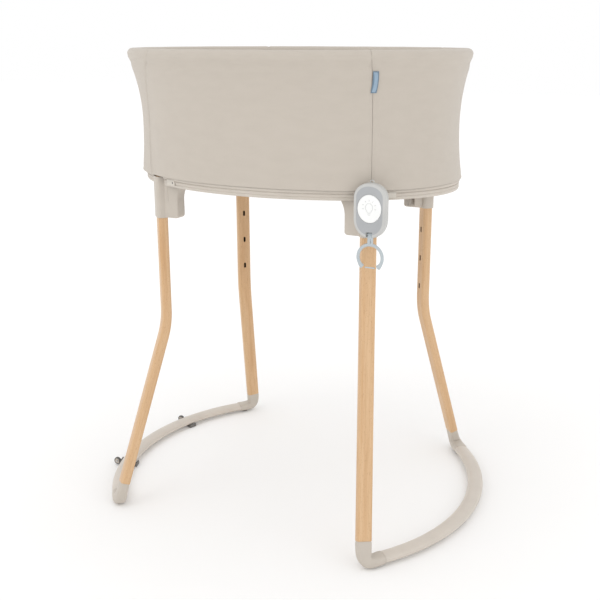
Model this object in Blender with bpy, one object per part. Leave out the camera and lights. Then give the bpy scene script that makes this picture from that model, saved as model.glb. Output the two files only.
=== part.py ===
"""Bedside bassinet: a padded oval basket on four bent wooden legs with two arched floor rails.

Frame: +X along the basket's length, +Y to its back, +Z up, metres, origin on the floor below
the centre. The legs stay put. The basket slides down them, and a latch in each corner bracket
enters one of the slots on the inner face of its leg.
"""
from math import asin, cos, pi, radians, sin, sqrt

import bmesh
import bpy
from mathutils import Vector

# ---------------------------------------------------------------- driving dimensions
GAP = 0.0003                      # clearance between touching pieces

# the basket's outline: an oval waist, from which the hem, rim, liner and legs are set off
FULLNESS = 2.12                   # plan exponent of the cover: 2 is an ellipse
WAIST_A, WAIST_B = 0.3290, 0.2420
HEM_A, HEM_B = WAIST_A + 0.0090, WAIST_B - 0.0065
RIM_A, RIM_B = WAIST_A + 0.0085, WAIST_B + 0.0285     # centre line of the rim tube
BAND_A, BAND_B = HEM_A - 0.0040, HEM_B - 0.0105
LINER_A, LINER_B = WAIST_A - 0.0240, WAIST_B - 0.0460
FRAME_A, FRAME_B = LINER_A - 0.0020, LINER_B + 0.0090     # lower tube ring

# legs
LEG_WIDE, LEG_THICK = 0.029, 0.0195
LEG_CORNER = 0.0058
LEG_CLEAR = 0.00045
LEG_TURN = radians(45.3)          # where the legs stand on the inset waist oval
LEG_INSET = LEG_THICK / 2 + LEG_CLEAR
LEG_X = (WAIST_A - LEG_INSET) * cos(LEG_TURN)
LEG_Y = (WAIST_B - LEG_INSET) * sin(LEG_TURN)
SECTION_TURN = radians(45)        # the wide faces look along the diagonal
KNEE_Z = 0.3755
KNEE_BLEND = 0.030                # length of leg taken up by the rounded knee, each side
TENON_LENGTH, TENON_STEP = 0.020, 0.0026

# base rails and their sockets
ARC_RADIUS, ARC_OFFSET = 0.408, 0.017     # rail centre line: circle centred at x = -+ARC_OFFSET
RAIL_ANGLE = radians(39)                  # where the rail meets its foot socket
RAIL_WIDE, RAIL_TALL, RAIL_LIFT = 0.032, 0.018, 0.0038
RAIL_Z = RAIL_LIFT + RAIL_TALL / 2
SPIGOT_LENGTH, SPIGOT_STEP = 0.016, 0.0040
JOINT_X = ARC_RADIUS * cos(RAIL_ANGLE) - ARC_OFFSET - 0.0301     # shoulder of the leg's tenon
JOINT_Y = ARC_RADIUS * sin(RAIL_ANGLE) + 0.0212
JOINT_Z = 0.051
PAD_ANGLE = RAIL_ANGLE + radians(2)
PAD_RADIUS, PAD_HEIGHT = 0.008, 0.0062
CORNER_EASE = 0.95                # how far the elbow keeps to its corner
CORNER_DROP = 0.0030              # how far that corner lies under the rail's centre

# casters on the left rail
CASTER_Y = 0.124                          # plan position of the caster's clip
CASTER_RADIUS, CASTER_WIDTH = 0.0082, 0.0060
CASTER_LIFT = 0.0013
WHEEL_GAP = 0.0010
CASTER_MARGIN = 0.0032                    # clip wall beyond the rail's edge
AXLE_RADIUS, AXLE_CLEAR = 0.002, 0.00006

# corner brackets, in the basket's top position
BRACKET_BOTTOM, BRACKET_TALL = 0.600, 0.0832
BRACKET_TOP = BRACKET_BOTTOM + BRACKET_TALL
LEG_TOP = BRACKET_TOP + 0.0010
COLLAR_WALL = 0.0021
WING_REACH = 0.0446               # from the leg's centre along X to the wing's end
BAND_END = 0.0202                 # from a leg's centre along X to the side band's end
WING_CLEAR = 0.0038               # from the band's outside at its end to the wing's outside
WING_OUT = BAND_B * sqrt(1 - ((LEG_X - BAND_END) / BAND_A) ** 2) - LEG_Y - WING_CLEAR
WING_IN = 0.0175
WING_FLARE, FLARE_RISE = 0.0095, 0.0300
SLOT_PITCH = 0.0625
SLOT_COUNT = 4                    # the top one is inside the bracket
SLOT_WIDE, SLOT_TALL, SLOT_DEEP = 0.0048, 0.0124, 0.0085
SLOT_TOP_Z = BRACKET_BOTTOM + 0.0145
LATCH_TRAVEL = 0.006
LATCH_BOSS = 0.021                # how far the latch housing reaches inward from the leg

# tubes of the basket's frame
FRAME_Z = BRACKET_TOP - 0.0077
FRAME_TUBE = 0.0055
SIDE_TUBE_SEAT = 0.0062           # how far a side tube enters the wing
END_TUBE_HALF = LEG_Y - 0.0308
SOCKET_EXTRA = 0.0015             # radians by which a tube's socket is deeper than the tube
BAND_SIDE_END = 0.0105            # from a leg's centre along Y to the end band's end
HEEL_OUT_X = BAND_A * sqrt(1 - ((LEG_Y - BAND_SIDE_END) / BAND_B) ** 2) - 0.0012
HEEL_LONG, HEEL_DEEP = 0.034, 0.014
POST_X, POST_Y, POST_RADIUS = LEG_X - 0.0317, LEG_Y - 0.0018, 0.0048
POST_SEAT_Z = BRACKET_BOTTOM + 0.030

# cover, rim and band
HEM_Z = BRACKET_TOP + 0.0033
WAIST_Z, POST_BEND_Z = HEM_Z + 0.0985, HEM_Z + 0.1135
RIM_Z = HEM_Z + 0.2325
RIM_TUBE = 0.0060
RIM_OUTER = 0.0108                # outer radius of the padded, covered rim
RIM_TURNS = [radians(angle) for angle in (0, 45, 90, 135, 180)]   # facets round the padded rim
COVER_WALL = 0.0013
SEAM_TURN = radians(47)           # plan parameter of the four upright seams
SEAM_GAP = 0.00045
PANEL_STEPS = 8                   # facets along each panel
BAND_WALL = 0.0018
BAND_BOTTOM, BAND_TOP = HEM_Z - 0.0200, HEM_Z - 0.0005
TAG_LOW, TAG_TALL, TAG_WIDE, TAG_THICK = HEM_Z + 0.171, 0.037, 0.0110, 0.0010

# liner, board and mattress
LINER_FLOOR = HEM_Z + 0.0040
LINER_WALL = 0.0015
LINER_CLEAR = 0.0010              # from the liner's top edge to the padded rim
LINER_FLARE_Z = LEG_TOP + SLOT_PITCH * (SLOT_COUNT - 1) - 0.0425     # clears the legs at the lowest step
MATTRESS_THICK, MATTRESS_GAP = 0.035, 0.004
MATTRESS_CROWN = 0.005

# night light
LIGHT_HALF, LIGHT_THICK, LIGHT_WALL, LIGHT_BEVEL = 0.0308, 0.0160, 0.0016, 0.0016
LIGHT_X = LEG_X + 0.0178
TOP_RISE, FOOT_RISE, LIGHT_FULLNESS = 0.0270, 0.0350, 2.1     # the light's round top and tapered foot
LIGHT_BOTTOM = BRACKET_BOTTOM + 0.0055
LIGHT_TOP = LIGHT_BOTTOM + 0.0990
LIGHT_CLEAR = 0.0020              # from the light's back to the cover
BACK_SHELL_THICK = 0.0070
DISC_Z, DISC_HALF_X, DISC_HALF_Z = LIGHT_BOTTOM + 0.0530, 0.0224, 0.0250
DISC_TRAVEL, DISC_CLEAR, DISC_FLANGE = 0.0015, 0.0005, 0.0016
HOOK_PIN_Z, HOOK_PIN_RADIUS, HOOK_PIN_HALF = LIGHT_BOTTOM + 0.0062, 0.00122, 0.0080
HOOK_NECK_HALF, HOOK_NECK_THICK, HOOK_NECK_TOP = 0.0056, 0.0044, 0.0030
NOTCH_HALF, NOTCH_TALL = 0.0062, 0.0108
RING_RADIUS, RING_BAND = 0.0232, 0.0030
RING_DROP = 0.0415                # from the hanger pin down to the ring's centre
RING_OPEN = radians(38)           # half of the ring's open stretch at its foot
GATE_RADIUS = 0.0013

CORNERS = {"front_left": (-1, -1), "front_right": (1, -1), "back_left": (-1, 1), "back_right": (1, 1)}

# ---------------------------------------------------------------- materials
COLOURS = {
    "beech_wood": (0.66, 0.42, 0.23, 0.45, 0.0),
    "greige_plastic": (0.55, 0.50, 0.43, 0.5, 0.0),
    "rubber": (0.06, 0.06, 0.06, 0.8, 0.0),
    "dark_plastic": (0.10, 0.10, 0.10, 0.5, 0.0),
    "steel": (0.60, 0.61, 0.62, 0.3, 1.0),
    "painted_tube": (0.52, 0.48, 0.42, 0.4, 0.2),
    "fabric": (0.60, 0.55, 0.48, 0.95, 0.0),
    "foam": (0.80, 0.78, 0.72, 0.95, 0.0),
    "mattress_fabric": (0.86, 0.85, 0.82, 0.95, 0.0),
    "board": (0.30, 0.28, 0.25, 0.7, 0.0),
    "tag_fabric": (0.18, 0.27, 0.36, 0.9, 0.0),
    "grey_plastic": (0.45, 0.46, 0.47, 0.45, 0.0),
    "white_plastic": (0.86, 0.87, 0.86, 0.35, 0.0),
    "circuit_board": (0.05, 0.22, 0.10, 0.5, 0.0),
    "battery": (0.35, 0.37, 0.40, 0.4, 0.3),
    "ring_plastic": (0.55, 0.60, 0.62, 0.4, 0.0),
}


def material(slot):
    """The Principled BSDF material of one slot, made on first use."""
    found = bpy.data.materials.get(slot)
    if found:
        return found
    red, green, blue, roughness, metallic = COLOURS[slot]
    made = bpy.data.materials.new(slot)
    made.use_nodes = True
    shader = made.node_tree.nodes["Principled BSDF"]
    shader.inputs["Base Color"].default_value = (red, green, blue, 1.0)
    shader.inputs["Roughness"].default_value = roughness
    shader.inputs["Metallic"].default_value = metallic
    return made


# ---------------------------------------------------------------- mesh helpers
def finish_object(name, mesh_data, slot, origin=None, smooth=True):
    """Turn a bmesh in world coordinates into a named object whose origin may sit on a joint axis."""
    bmesh.ops.recalc_face_normals(mesh_data, faces=mesh_data.faces)
    mesh = bpy.data.meshes.new(name)
    shift = Vector(origin) if origin else Vector((0, 0, 0))
    bmesh.ops.translate(mesh_data, verts=mesh_data.verts, vec=-shift)
    mesh_data.to_mesh(mesh)
    mesh_data.free()
    made = bpy.data.objects.new(name, mesh)
    made.location = shift
    bpy.context.scene.collection.objects.link(made)
    mesh.materials.append(material(slot))
    if smooth:
        mesh.shade_smooth()
        mesh.set_sharp_from_angle(angle=radians(40))
    return made


def loft_mesh(rings, closed=False):
    """Join successive rings of equal length; open ends are capped, a closed loft joins up."""
    data = bmesh.new()
    layers = [[data.verts.new(point) for point in ring] for ring in rings]
    pairs = list(zip(layers, layers[1:]))
    if closed:
        pairs.append((layers[-1], layers[0]))
    else:
        data.faces.new(layers[0])
        data.faces.new(layers[-1])
    for first, second in pairs:
        count = len(first)
        for i in range(count):
            j = (i + 1) % count
            data.faces.new((first[i], first[j], second[j], second[i]))
    return data


def loft(name, rings, slot, closed=False, origin=None):
    return finish_object(name, loft_mesh(rings, closed), slot, origin)


def cut(target, cutter):
    """Subtract a hidden cutter from an object with an exact boolean."""
    cutter.hide_render = True
    cutter.display_type = "WIRE"
    cutter.hide_viewport = True
    modifier = target.modifiers.new("cut_" + cutter.name, "BOOLEAN")
    modifier.operation = "DIFFERENCE"
    modifier.solver = "EXACT"
    modifier.object = cutter


def join(target, other):
    """Unite a helper solid with an object with an exact boolean."""
    other.hide_render = True
    other.display_type = "WIRE"
    other.hide_viewport = True
    modifier = target.modifiers.new("join_" + other.name, "BOOLEAN")
    modifier.operation = "UNION"
    modifier.solver = "EXACT"
    modifier.object = other


def rounded_section(half_a, half_b, corner, steps=2):
    """A rectangle with round corners, as (a, b) pairs."""
    centre_a, centre_b = half_a - corner, half_b - corner
    points = []
    for quarter, (sign_a, sign_b) in enumerate(((1, 1), (-1, 1), (-1, -1), (1, -1))):
        for step in range(steps + 1):
            turn = (quarter + step / steps) * pi / 2
            points.append((sign_a * centre_a + corner * cos(turn), sign_b * centre_b + corner * sin(turn)))
    return points


def oval_section(half_a, half_b, count):
    return [(half_a * cos(2 * pi * i / count), half_b * sin(2 * pi * i / count)) for i in range(count)]


def place_section(section, centre, axis_a, axis_b):
    return [centre + axis_a * a + axis_b * b for a, b in section]


def axes_for(direction, hint):
    """Two unit axes square to a direction, the first as near the hint as it can be."""
    forward = direction.normalized()
    first = (hint - forward * hint.dot(forward)).normalized()
    return first, forward.cross(first)


def rod(name, start, end, radius, slot, sides=12, origin=None):
    start, end = Vector(start), Vector(end)
    direction = end - start
    hint = Vector((0, 0, 1)) if abs(direction.normalized().z) < 0.9 else Vector((1, 0, 0))
    first, second = axes_for(direction, hint)
    section = oval_section(radius, radius, sides)
    return loft(name, [place_section(section, p, first, second) for p in (start, end)], slot, origin=origin)


def box(name, low, high, slot, corner=0.0, origin=None):
    """An upright box; a corner radius rounds its four vertical edges."""
    (x0, y0, z0), (x1, y1, z1) = low, high
    middle = Vector(((x0 + x1) / 2, (y0 + y1) / 2, 0))
    half_x, half_y = (x1 - x0) / 2, (y1 - y0) / 2
    section = rounded_section(half_x, half_y, corner) if corner else [
        (half_x, half_y), (-half_x, half_y), (-half_x, -half_y), (half_x, -half_y)]
    rings = [place_section(section, middle + Vector((0, 0, z)), Vector((1, 0, 0)), Vector((0, 1, 0)))
             for z in (z0, z1)]
    return loft(name, rings, slot, origin=origin)


# ---------------------------------------------------------------- plan curves
def power(value, exponent):
    return abs(value) ** exponent * (1 if value >= 0 else -1)


def plan_point(half_x, half_y, turn, fullness=FULLNESS):
    """A point on the basket's oval; turn is the curve's own parameter."""
    return Vector((half_x * power(cos(turn), 2 / fullness), half_y * power(sin(turn), 2 / fullness), 0))


def plan_height(half_x, half_y, x, fullness=2.0):
    """The oval's +Y ordinate above a given x."""
    return half_y * (1 - abs(x / half_x) ** fullness) ** (1 / fullness)


def side_shape(z):
    """Half length and half depth of the outer cover at one height: narrow waist, flared rim."""
    if z < WAIST_Z:
        share = (WAIST_Z - z) / (WAIST_Z - HEM_Z)
        return WAIST_A + (HEM_A - WAIST_A) * share ** 2, WAIST_B + (HEM_B - WAIST_B) * share ** 2
    share = (z - WAIST_Z) / (RIM_Z - 0.4 * RIM_OUTER - WAIST_Z)
    flare_a = RIM_A + 0.92 * RIM_OUTER - WAIST_A
    flare_b = RIM_B + 0.92 * RIM_OUTER - WAIST_B
    return WAIST_A + flare_a * share ** 2, WAIST_B + flare_b * share ** 2


def seam_turns():
    """Plan parameters where each panel begins, right, back, left and front, and where the last ends."""
    return [-SEAM_TURN, SEAM_TURN, pi - SEAM_TURN, pi + SEAM_TURN, 2 * pi - SEAM_TURN]


def round_stations():
    """Stations all round the oval, the same ones that the panels are swept through."""
    turns = seam_turns()
    return [first + (last - first) * step / PANEL_STEPS for first, last in zip(turns, turns[1:])
            for step in range(PANEL_STEPS)]


def normal_at(half_x, half_y, turn, fullness=FULLNESS):
    """Unit tangent and outward normal of the oval at one parameter."""
    step = 0.001
    ahead = plan_point(half_x, half_y, turn + step, fullness)
    behind = plan_point(half_x, half_y, turn - step, fullness)
    tangent = (ahead - behind).normalized()
    return tangent, Vector((tangent.y, -tangent.x, 0))


def meet_oval(start, direction, half_x, half_y):
    """Where a line in plan from a start point crosses the oval, found by halving."""
    low, high = -0.10, 0.06
    for _ in range(40):
        middle = (low + high) / 2
        point = start + direction * middle
        inside = abs(point.x / half_x) ** FULLNESS + abs(point.y / half_y) ** FULLNESS < 1
        low, high = (middle, high) if inside else (low, middle)
    return start + direction * (low + high) / 2


def liner_shape(z):
    """Half length and half depth of the liner's outer side."""
    share = max(0.0, (z - LINER_FLARE_Z) / (RIM_Z - LINER_FLARE_Z))
    reach_a = RIM_A - RIM_OUTER - LINER_CLEAR - LINER_A
    reach_b = RIM_B - RIM_OUTER - LINER_CLEAR - LINER_B
    return LINER_A + reach_a * share ** 2, LINER_B + reach_b * share ** 2


def liner_fullness(z):
    """Plan exponent of the liner: an ellipse low down, the rim's own oval at the top."""
    share = max(0.0, (z - LINER_FLARE_Z) / (RIM_Z - LINER_FLARE_Z))
    return 2 + (FULLNESS - 2) * share


def oval_ring(half_x, half_y, z, fullness=2.0):
    """One ring of points round an oval at a height."""
    return [plan_point(half_x, half_y, turn, fullness) + Vector((0, 0, z)) for turn in round_stations()]


def light_back():
    """The +Y face of the night light, just clear of the cover's hem."""
    return -(plan_height(HEM_A, HEM_B, LIGHT_X - LIGHT_HALF, FULLNESS) + LIGHT_CLEAR)


# ---------------------------------------------------------------- the stand
def leg_frame(sx, sy):
    """Outward and sideways unit axes of a leg's section."""
    outward = Vector((sx * cos(SECTION_TURN), sy * sin(SECTION_TURN), 0))
    sideways = Vector((-sx * sin(SECTION_TURN), sy * cos(SECTION_TURN), 0))
    return outward, sideways


def knee_and_joint(sx, sy):
    knee = Vector((sx * LEG_X, sy * LEG_Y, KNEE_Z))
    joint = Vector((sx * JOINT_X, sy * JOINT_Y, JOINT_Z))
    return knee, joint


def make_leg(name, sx, sy):
    """A bent leg: upright above the knee, splayed below it, with a tenon at the foot."""
    outward, sideways = leg_frame(sx, sy)
    knee, joint = knee_and_joint(sx, sy)
    splay = (joint - knee).normalized()
    down = Vector((0, 0, -1))
    full = rounded_section(LEG_WIDE / 2, LEG_THICK / 2, LEG_CORNER)
    thin = rounded_section(LEG_WIDE / 2 - TENON_STEP, LEG_THICK / 2 - TENON_STEP, LEG_CORNER - TENON_STEP)

    def ring(centre, direction, section):
        side, out = axes_for(direction, sideways)
        if out.dot(outward) < 0:
            out = -out
        return place_section(section, centre, side, out)

    rings = [ring(Vector((knee.x, knee.y, LEG_TOP)), down, full)]
    begin, end = knee - down * KNEE_BLEND, knee + splay * KNEE_BLEND
    steps = 6
    for step in range(steps + 1):
        t = step / steps
        centre = begin * (1 - t) ** 2 + knee * 2 * t * (1 - t) + end * t ** 2
        rings.append(ring(centre, down * (1 - t) + splay * t, full))
    rings.append(ring(joint, splay, full))
    rings.append(ring(joint, splay, thin))
    rings.append(ring(joint + splay * TENON_LENGTH, splay, thin))
    leg = loft("leg_" + name, rings, "beech_wood")
    for index in range(SLOT_COUNT):
        height = SLOT_TOP_Z - index * SLOT_PITCH
        face = Vector((knee.x, knee.y, height)) - outward * (LEG_THICK / 2)
        section = rounded_section(SLOT_WIDE / 2, SLOT_TALL / 2, SLOT_WIDE / 2 - 0.0004)
        rings = [place_section(section, face + outward * depth, sideways, Vector((0, 0, 1)))
                 for depth in (-0.003, SLOT_DEEP)]
        cut(leg, loft("slot_cutter_%s_%d" % (name, index), rings, "beech_wood"))


def arc_point(sx, turn, z=RAIL_Z):
    return Vector((sx * (ARC_RADIUS * cos(turn) - ARC_OFFSET), ARC_RADIUS * sin(turn), z))


def arc_axes(sx, turn):
    """Radial and tangent axes of a rail's circle at one angle."""
    return Vector((sx * cos(turn), sin(turn), 0)), Vector((-sx * sin(turn), cos(turn), 0))


def make_foot_socket(name, sx, sy):
    """The elbow that takes a leg's tenon on top and a rail's spigot at its side."""
    outward, sideways = leg_frame(sx, sy)
    knee, joint = knee_and_joint(sx, sy)
    splay = (joint - knee).normalized()
    radial, tangent = arc_axes(sx, sy * RAIL_ANGLE)
    start = joint + splay * GAP
    end = arc_point(sx, sy * RAIL_ANGLE)
    end_direction = tangent * -sy
    corner = joint + splay * ((JOINT_Z - RAIL_Z + CORNER_DROP) / -splay.z)
    handles = (start + (corner - start) * CORNER_EASE, end + (corner - end) * CORNER_EASE)
    steps = 9
    rings = []
    for step in range(steps + 1):
        t = step / steps
        centre = (start * (1 - t) ** 3 + handles[0] * 3 * t * (1 - t) ** 2
                  + handles[1] * 3 * t ** 2 * (1 - t) + end * t ** 3)
        direction = ((handles[0] - start) * (1 - t) ** 2 + (handles[1] - handles[0]) * 2 * t * (1 - t)
                     + (end - handles[1]) * t ** 2)
        if step == 0:
            direction = splay
        if step == steps:
            direction = end_direction
        across, upright = axes_for(direction, outward * (1 - t) + radial * t)
        blend = t * t * (3 - 2 * t)
        half_across = (LEG_THICK * (1 - blend) + RAIL_WIDE * blend) / 2
        half_upright = (LEG_WIDE * (1 - blend) + RAIL_TALL * blend) / 2
        radius = min(half_across, half_upright)
        corner_radius = LEG_CORNER + (radius - 0.0004 - LEG_CORNER) * blend
        section = rounded_section(half_across, half_upright, corner_radius)
        rings.append(place_section(section, centre, across, upright))
    socket = loft("foot_socket_" + name, rings, "greige_plastic")

    hole = rounded_section(LEG_WIDE / 2 - TENON_STEP + GAP, LEG_THICK / 2 - TENON_STEP + GAP,
                           LEG_CORNER - TENON_STEP)
    side, out = axes_for(splay, sideways)
    ends = (joint - splay * 0.005, joint + splay * (TENON_LENGTH + 0.0005))
    cut(socket, loft("tenon_cutter_" + name, [place_section(hole, p, side, out) for p in ends],
                     "greige_plastic"))
    bore = oval_section(RAIL_WIDE / 2 - SPIGOT_STEP + GAP, RAIL_TALL / 2 - SPIGOT_STEP + GAP, 14)
    bore_rings = []
    for reach in (-0.004, SPIGOT_LENGTH + 0.0005):
        turn = sy * (RAIL_ANGLE + reach / ARC_RADIUS)
        bore_rings.append(place_section(bore, arc_point(sx, turn), arc_axes(sx, turn)[0], Vector((0, 0, 1))))
    cut(socket, loft("spigot_cutter_" + name, bore_rings, "greige_plastic"))
    foot = arc_point(sx, sy * PAD_ANGLE, 0)
    recess = rod("pad_cutter_" + name, foot - Vector((0, 0, 0.01)), foot + Vector((0, 0, PAD_HEIGHT + GAP)),
                 PAD_RADIUS + GAP, "rubber", sides=16)
    cut(socket, recess)
    rod("foot_pad_" + name, foot, foot + Vector((0, 0, PAD_HEIGHT)), PAD_RADIUS, "rubber", sides=16)


def make_rail(name, sx):
    """A flat oval tube bent to an arc, with a spigot at each end."""
    steps = 16
    full = oval_section(RAIL_WIDE / 2, RAIL_TALL / 2, 14)
    thin = oval_section(RAIL_WIDE / 2 - SPIGOT_STEP, RAIL_TALL / 2 - SPIGOT_STEP, 14)
    half = RAIL_ANGLE - GAP / ARC_RADIUS
    tip = half + SPIGOT_LENGTH / ARC_RADIUS
    stations = [(-tip, thin), (-half, thin)]
    stations += [(-half + 2 * half * step / steps, full) for step in range(steps + 1)]
    stations += [(half, thin), (tip, thin)]
    rings = [place_section(section, arc_point(sx, turn), arc_axes(sx, turn)[0], Vector((0, 0, 1)))
             for turn, section in stations]
    loft("base_rail_" + name, rings, "greige_plastic")


def make_caster(name, sy):
    """A tilt-to-roll wheel clipped under the left rail: arm, axle and wheel."""
    turn = sy * asin(CASTER_Y / ARC_RADIUS)
    on_rail = arc_point(-1, turn, 0)
    radial, tangent = arc_axes(-1, turn)
    rail_bottom = RAIL_Z - RAIL_TALL / 2
    floor_gap = 0.0008
    plate = rail_bottom - GAP
    wheel_reach = RAIL_WIDE / 2 + CASTER_MARGIN + WHEEL_GAP + CASTER_RADIUS
    centre = on_rail + radial * wheel_reach + Vector((0, 0, CASTER_RADIUS + CASTER_LIFT))
    half_wide = 0.009
    inner, outer = -RAIL_WIDE / 2 - 0.0028, RAIL_WIDE / 2 + CASTER_MARGIN
    clip_profile = [(inner, floor_gap), (outer, floor_gap), (outer, 0.0150), (outer - 0.0026, 0.0150),
                    (outer - 0.0026, 0.0085), (outer - 0.0075, plate), (inner + 0.0075, plate),
                    (inner + 0.0022, 0.0085), (inner, 0.0085)]
    rings = [[on_rail + radial * across + tangent * along + Vector((0, 0, height))
              for across, height in clip_profile] for along in (-half_wide, half_wide)]
    arm = loft("caster_arm_" + name, rings, "dark_plastic")

    inward, side_gap, arm_thick = Vector((0, -sy, 0)), 0.0006, 0.004
    near = centre + inward * (CASTER_WIDTH / 2 + side_gap)
    far = near + inward * arm_thick
    low_y, high_y = sorted((near.y, far.y))
    boss = box("caster_boss_" + name, (centre.x - 0.0035, low_y, centre.z - 0.0045),
               (on_rail.x + radial.x * (outer - 0.0008), high_y, centre.z + 0.0012), "dark_plastic")
    join(arm, boss)
    bore = rod("axle_cutter_" + name, centre + inward * 0.02, centre - inward * 0.02,
               AXLE_RADIUS + AXLE_CLEAR, "steel", sides=16)
    cut(arm, bore)
    rod("caster_axle_" + name, centre - inward * (CASTER_WIDTH / 2 + 0.0010), far + inward * 0.0004,
        AXLE_RADIUS, "steel", sides=16)

    half, sides = CASTER_WIDTH / 2, 16
    profile = [(AXLE_RADIUS + AXLE_CLEAR, -half + 0.0008), (CASTER_RADIUS * 0.62, -half + 0.0008),
               (CASTER_RADIUS * 0.70, -half), (CASTER_RADIUS - 0.0010, -half),
               (CASTER_RADIUS, -half + 0.0010),
               (CASTER_RADIUS, half - 0.0010), (CASTER_RADIUS - 0.0010, half), (CASTER_RADIUS * 0.70, half),
               (CASTER_RADIUS * 0.62, half - 0.0008), (AXLE_RADIUS + AXLE_CLEAR, half - 0.0008)]
    rings = []
    for step in range(sides):
        angle = 2 * pi * step / sides
        rings.append([centre + Vector((radius * cos(angle), along, radius * sin(angle)))
                      for radius, along in profile])
    loft("caster_wheel_" + name, rings, "rubber", closed=True, origin=centre)


# ---------------------------------------------------------------- brackets and latches
def make_bracket(name, sx, sy):
    """Collar round the leg, wing along the basket's side, heel for the end tube, latch housing."""
    outward, sideways = leg_frame(sx, sy)
    centre = Vector((sx * LEG_X, sy * LEG_Y, 0))
    up = Vector((0, 0, 1))
    collar = rounded_section(LEG_WIDE / 2 + GAP + COLLAR_WALL, LEG_THICK / 2 + GAP + COLLAR_WALL,
                             LEG_CORNER + COLLAR_WALL)
    rings = [place_section(collar, centre + up * z, sideways, outward) for z in (BRACKET_BOTTOM, BRACKET_TOP)]
    bracket = loft("corner_bracket_" + name, rings, "greige_plastic")

    def wing_ring(z, reach, trim):
        far, near = LEG_X - reach, LEG_X - 0.004
        out_y, in_y = LEG_Y + WING_OUT - trim, LEG_Y - WING_IN + trim
        middle = Vector((sx * (far + near) / 2, sy * (out_y + in_y) / 2, z))
        section = rounded_section((near - far) / 2, (out_y - in_y) / 2, 0.004)
        return place_section(section, middle, Vector((sx, 0, 0)), Vector((0, sy, 0)))

    wing_top = BRACKET_TOP - 0.0004
    heights = [(BRACKET_BOTTOM + 0.001, WING_REACH - 0.0060, 0.002),
               (BRACKET_BOTTOM + 0.004, WING_REACH - 0.0018, 0.0004),
               (BRACKET_BOTTOM + 0.009, WING_REACH, 0.0)]
    for share in (0.0, 1 / 3, 2 / 3, 1.0):
        heights.append((BAND_BOTTOM - FLARE_RISE * (1 - share), WING_REACH + WING_FLARE * share ** 2, 0.0))
    heights.append((wing_top, WING_REACH + WING_FLARE, 0.0))
    join(bracket, loft("wing_" + name, [wing_ring(*entry) for entry in heights], "greige_plastic"))

    low_x, high_x = sorted((sx * (HEEL_OUT_X - HEEL_LONG), sx * HEEL_OUT_X))
    low_y, high_y = sorted((sy * (END_TUBE_HALF - HEEL_DEEP), sy * (LEG_Y - LEG_THICK / 2 + 0.001)))
    join(bracket, box("heel_" + name, (low_x, low_y, FRAME_Z - FRAME_TUBE - 0.0028),
                      (high_x, high_y, BRACKET_TOP - 0.0002), "greige_plastic", corner=0.004))

    inner_face = centre - outward * (LEG_THICK / 2)
    housing = rounded_section(0.0085, 0.0105, 0.003)
    middle_z = up * (SLOT_TOP_Z + 0.0005)
    join(bracket, loft("housing_" + name, [place_section(housing, inner_face + middle_z - outward * reach,
                                                         sideways, up)
                                           for reach in (0.001, LATCH_BOSS)], "greige_plastic"))

    passage = rounded_section(LEG_WIDE / 2 + GAP, LEG_THICK / 2 + GAP, LEG_CORNER)
    below, above = BRACKET_BOTTOM - 0.05, BRACKET_TOP + 0.05
    rings = [place_section(passage, centre + up * z, sideways, outward) for z in (below, above)]
    cut(bracket, loft("leg_cutter_" + name, rings, "greige_plastic"))
    blade = rounded_section(SLOT_WIDE / 2 - 0.0001, SLOT_TALL / 2 - 0.0002, 0.0019)
    rings = [place_section(blade, inner_face + up * SLOT_TOP_Z - outward * reach, sideways, up)
             for reach in (-0.003, LATCH_BOSS + 0.01)]
    cut(bracket, loft("blade_cutter_" + name, rings, "greige_plastic"))
    cut(bracket, rod("post_cutter_" + name, (sx * POST_X, sy * POST_Y, POST_SEAT_Z),
                     (sx * POST_X, sy * POST_Y, above), POST_RADIUS + GAP, "steel"))
    for span in ("side", "end"):
        cut(bracket, frame_tube("%s_tube_cutter_%s" % (span, name), span, sx, sy, GAP, SOCKET_EXTRA))


def make_latch(name, sx, sy):
    """A flat steel blade on a plastic push knob, drawn back clear of the leg."""
    outward, sideways = leg_frame(sx, sy)
    up = Vector((0, 0, 1))
    face = Vector((sx * LEG_X, sy * LEG_Y, SLOT_TOP_Z)) - outward * (LEG_THICK / 2 + GAP)
    blade = rounded_section(SLOT_WIDE / 2 - 0.0005, SLOT_TALL / 2 - 0.0006, 0.0017)
    knob = rounded_section(0.0078, 0.0098, 0.0036)
    small_knob = rounded_section(0.0064, 0.0084, 0.0030)
    knob_at = LATCH_BOSS + LATCH_TRAVEL + 0.0006
    stations = [(0.0002, blade), (knob_at, blade), (knob_at, small_knob), (knob_at + 0.0012, knob),
                (knob_at + 0.0060, knob), (knob_at + 0.0075, small_knob)]
    rings = [place_section(section, face - outward * reach, sideways, up) for reach, section in stations]
    loft("height_latch_" + name, rings, "greige_plastic", origin=face - outward * knob_at)


# ---------------------------------------------------------------- the basket's frame
def frame_tube_reach(span):
    """Half the plan parameter that one lower tube covers, along a side or round an end."""
    if span == "side":
        return asin((LEG_X - WING_REACH + SIDE_TUBE_SEAT) / FRAME_A)
    return asin(END_TUBE_HALF / FRAME_B)


def frame_tube(name, span, sx, sy, grow=0.0, extra=0.0):
    """One lower tube, swept along the ring; a fatter, longer copy cuts its sockets."""
    middle = pi / 2 if span == "side" else 0.0
    reach = frame_tube_reach(span) + extra
    steps = 10
    section = oval_section(FRAME_TUBE + grow, FRAME_TUBE + grow, 10)
    rings = []
    for step in range(steps + 1):
        turn = middle + reach * (2 * step / steps - 1)
        point = Vector((sx * FRAME_A * cos(turn), sy * FRAME_B * sin(turn), FRAME_Z))
        tangent = Vector((-sx * FRAME_A * sin(turn), sy * FRAME_B * cos(turn), 0))
        across, upright = axes_for(tangent, Vector((0, 0, 1)))
        rings.append(place_section(section, point, across, upright))
    return loft(name, rings, "painted_tube")


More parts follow.
